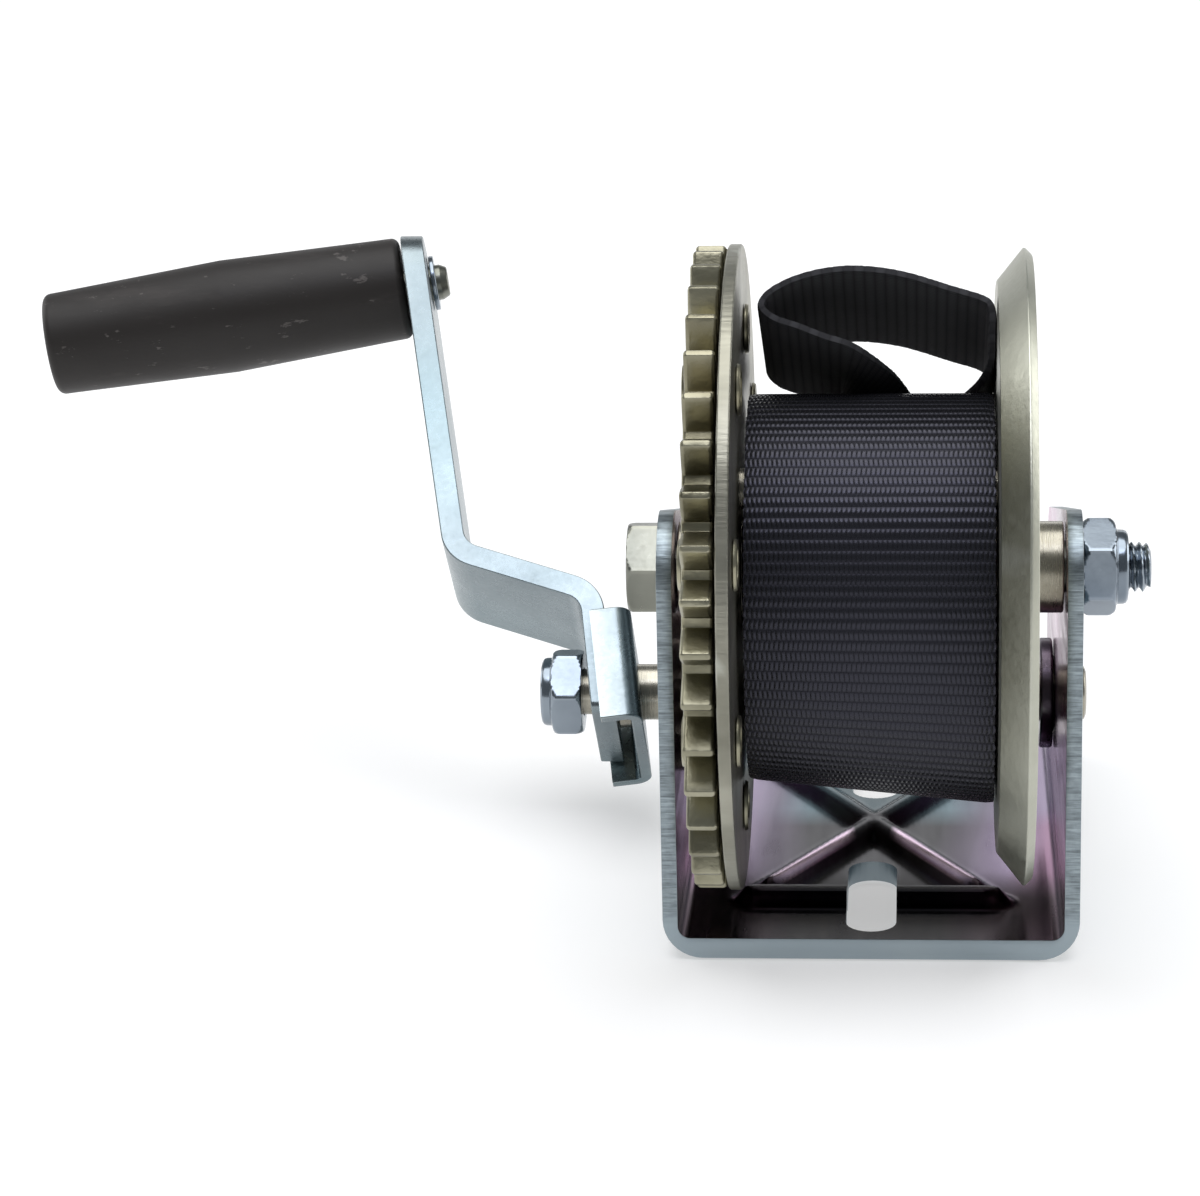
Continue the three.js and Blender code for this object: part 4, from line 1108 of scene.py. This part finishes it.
def shaft_pieces():
    low, high = span("pinion_shaft")
    phase = mesh_angle() + math.pi + math.pi / PINION_TEETH
    outline = gear_outline(PINION_TEETH, PINION_TIP, PINION_ROOT, phase, 0.55)
    teeth = slab("pinion_teeth", outline, [], -37.2, -28.2, SHAFT, bevel=0.4)
    dress(teeth, "crank", "turned_steel")
    step = HUB_X + 5.4
    stud = low.x
    profile = [(stud, 0), (stud, 4.9), (step, 4.9), (step, 6), (high.x - 1.4, 6), (high.x - 0.4, 5.6),
               (high.x, 4.6), (high.x, 0)]
    shaft = turned("pinion_shaft_rod", profile, SHAFT, 64, 0.4)
    dress(shaft, "crank", "turned_steel", "pinion_shaft")
    for node, name, body, slot, outer, segments, edge in (
            ("shaft_bush_left", "bush_left", "frame", "turned_steel", 8, 48, 0.25),
            ("shaft_bush_right", "bush_right", "frame", "turned_steel", 8, 48, 0.25),
            ("shaft_collar", "shaft_collar_disc", "crank", "dark_steel", 11.75, 72, 0.6),
            ("shaft_end_washer", "shaft_washer", "crank", "nut_zinc", 8.5, 64, 0.4)):
        a, b = span(node)
        dress(tube(name, a.x, b.x, SHAFT_BORE, outer, SHAFT, segments, edge), body, slot, node)


# ---- crank ----

HUB_HOLE, PIN_BORE = 6.3, 4.2


def band(corners, bend, thickness, steps=10):
    """Outline of a flat bar bent about rounded corners."""
    line = rounded_arc(corners, bend, steps)
    left, right = [], []
    for i, point in enumerate(line):
        along = (line[min(i + 1, len(line) - 1)] - line[max(i - 1, 0)]).normalized()
        across = Vector((-along.y, along.x)) * thickness / 2
        left.append(point + across)
        right.insert(0, point - across)
    return left + right


def rounded_arc(corners, bend, steps):
    points = [Vector(c) for c in corners]
    line = [points[0]]
    for before, corner, after in zip(points, points[1:], points[2:]):
        a, b = (before - corner).normalized(), (after - corner).normalized()
        half = a.angle(b) / 2
        middle = corner + (a + b).normalized() * bend / math.sin(half)
        start = corner + a * bend / math.tan(half) - middle
        end = corner + b * bend / math.tan(half) - middle
        total = start.angle_signed(end)
        for k in range(steps + 1):
            turn = Matrix.Rotation(-total * k / steps, 2)
            line.append(middle + turn @ start)
    return line + [points[-1]]


def arm_piece():
    tilt = math.tan(ARM_TILT)
    pin = Vector(((GRIP_PIN - SHAFT_AXIS).x, (GRIP_PIN - SHAFT_AXIS).yz.length)) / MM
    knee, elbow_s, foot_s, tip_s = (-60.6, 17.0), 26.8, -10.7, 110.3
    foot = (HUB_X - foot_s * math.tan(HUB_TILT), foot_s)
    elbow = (pin.x + (pin.y - elbow_s) * tilt, elbow_s)
    tip = (pin.x - (tip_s - pin.y) * tilt, tip_s)
    outline = band([foot, knee, elbow, tip], 7, 5)
    half, tip_round, foot_round = 15.0, 13.0, 2.0
    face = []
    for x, z, r, start in ((foot_round - half, foot_s + foot_round, foot_round, 180),
                           (half - foot_round, foot_s + foot_round, foot_round, 270),
                           (half - tip_round, tip_s - tip_round, tip_round, 0),
                           (tip_round - half, tip_s - tip_round, tip_round, 90)):
        face += [(x + r * math.cos(math.radians(start + 9 * k)), z + r * math.sin(math.radians(start + 9 * k)))
                 for k in range(11)]
    arm = bent_bar("crank_arm_bar", outline, face, CRANK)
    arm = cut(arm, [rod_cutter(-75, -50, 5.1, CRANK, 32), rod_cutter(-10, 10, PIN_BORE, GRIP, 32)])
    dress(arm, "crank", "crank_zinc", "crank_arm")


def bent_bar(name, outline, face, matrix, bevel=0.45):
    """Flat bar bent in its side view and trimmed to its face outline, all edges rounded over."""
    bar = slab(name, [tuple(p) for p in outline], [], -20, 20, Matrix.Identity(4), AXES_Y, 0.001)
    trim = slab("trim", face, [], -130, -40, Matrix.Identity(4), AXES_X, 0.001)
    change = bar.modifiers.new("trim", "BOOLEAN")
    change.object = trim
    change.operation = "INTERSECT"
    mesh = baked(bar)
    bpy.data.objects.remove(trim)
    bpy.data.objects.remove(bar)
    work = bmesh.new()
    work.from_mesh(mesh)
    bmesh.ops.remove_doubles(work, verts=work.verts, dist=0.01)
    bmesh.ops.dissolve_limit(work, angle_limit=math.radians(1), verts=work.verts, edges=work.edges)
    sharp = [e for e in work.edges if e.is_manifold and e.calc_face_angle(0) > math.radians(50)]
    bmesh.ops.bevel(work, geom=sharp, offset=bevel, segments=3, profile=0.5, affect="EDGES", clamp_overlap=True)
    work.to_mesh(mesh)
    work.free()
    return finish_mesh(name, mesh, matrix, 32)


def bracket_piece():
    x0, x1, sheet, half, length, middle, bend = -0.6, 8.1, 2.4, 19.0, 25.5, -1.8, 3.6
    corners = [(x0, -half + sheet / 2), (x1 - sheet / 2, -half + sheet / 2), (x1 - sheet / 2, half - sheet / 2),
               (x0, half - sheet / 2)]
    outline = band(corners, bend - sheet / 2, sheet)
    bracket = slab("crank_bracket_channel", [tuple(p) for p in outline], [], middle - length / 2,
                   middle + length / 2, HUB, AXES_Z, bevel=0.4)
    dress(cut(bracket, [rod_cutter(-56, -40, HUB_HOLE, CRANK, 32)]), "crank", "crank_zinc", "crank_bracket")
    sleeve = tube("crank_spacer_sleeve", 2.7, 5.5, HUB_HOLE, 8.2, HUB, 48, 0.3)
    dress(sleeve, "crank", "turned_steel", "crank_sleeve")
    lock_nut("crank_nut", "crank_lock_nut", "crank_nut_insert", CRANK, "crank", NUT_FACE, -1, math.radians(32))


def grip_pieces():
    start, length, end, middle, round_r = 3.2, 81.7, 11.5, 12.8, 1.8
    far = start + length
    profile = [(-start, 4.3)]
    for k in range(9):
        a = math.radians(11.25 * k)
        profile.append((-(start + round_r * (1 - math.cos(a))), end - round_r + round_r * math.sin(a)))
    for share in (0.05, 0.1, 0.3, 0.47, 0.49, 0.5, 0.51, 0.53, 0.7, 0.9, 0.95):
        profile.append((-(start + length * share), middle - (middle - end) * abs(share - 0.5) / 0.47))
    for k in range(9):
        a = math.radians(90 - 11.25 * k)
        profile.append((-(far - round_r * (1 - math.cos(a))), end - round_r + round_r * math.sin(a)))
    profile += [(-far, 7.6), (-(far - 8), 7.6), (-(far - 8), 4.3)]
    grip = turned("grip_handle", profile, GRIP, 96, 0.25, closed=True, smooth=30)
    dress(grip, "grip", "grip_plastic", "grip")
    face = 2.5
    head = far - 7.7
    profile = [(-(head + 5), 0), (-(head + 5), 5.6), (-(head + 3.8), 6.8), (-head, 6.8), (-head, 4), (face + 2.4, 4),
               (face + 4, 3.2), (face + 4, 0)]
    pin = turned("grip_pin_body", profile, GRIP, 48, 0.5)
    dress(pin, "crank", "bolt_zinc", "grip_pin")
    washer = tube("grip_washer", face + 0.3, face + 1.4, PIN_BORE, 6.2, GRIP, 48, 0.3)
    dress(washer, "crank", "nut_zinc", "grip_pin_washer")


# ---- pawl ----

def pawl_paint():
    for node, key in (("pawl", "dark_steel"), ("pawl_pin", "bolt_zinc"), ("pawl_spring", "turned_steel"),
                      ("pawl_pin_clip", "dark_steel")):
        carried = frame["nodes"][node]
        carried.data.materials.clear()
        carried.data.materials.append(PAINTS[key])


# ---- making ----

make_camera()
make_studio()
PAINTS = make_paints()
frame_piece()
gear_pieces()
flange_pieces()
rivet_pieces()
core_pieces()
strap_winding()
strap_sheet()
drum_bolt_pieces()
shaft_pieces()
arm_piece()
bracket_piece()
grip_pieces()
pawl_paint()
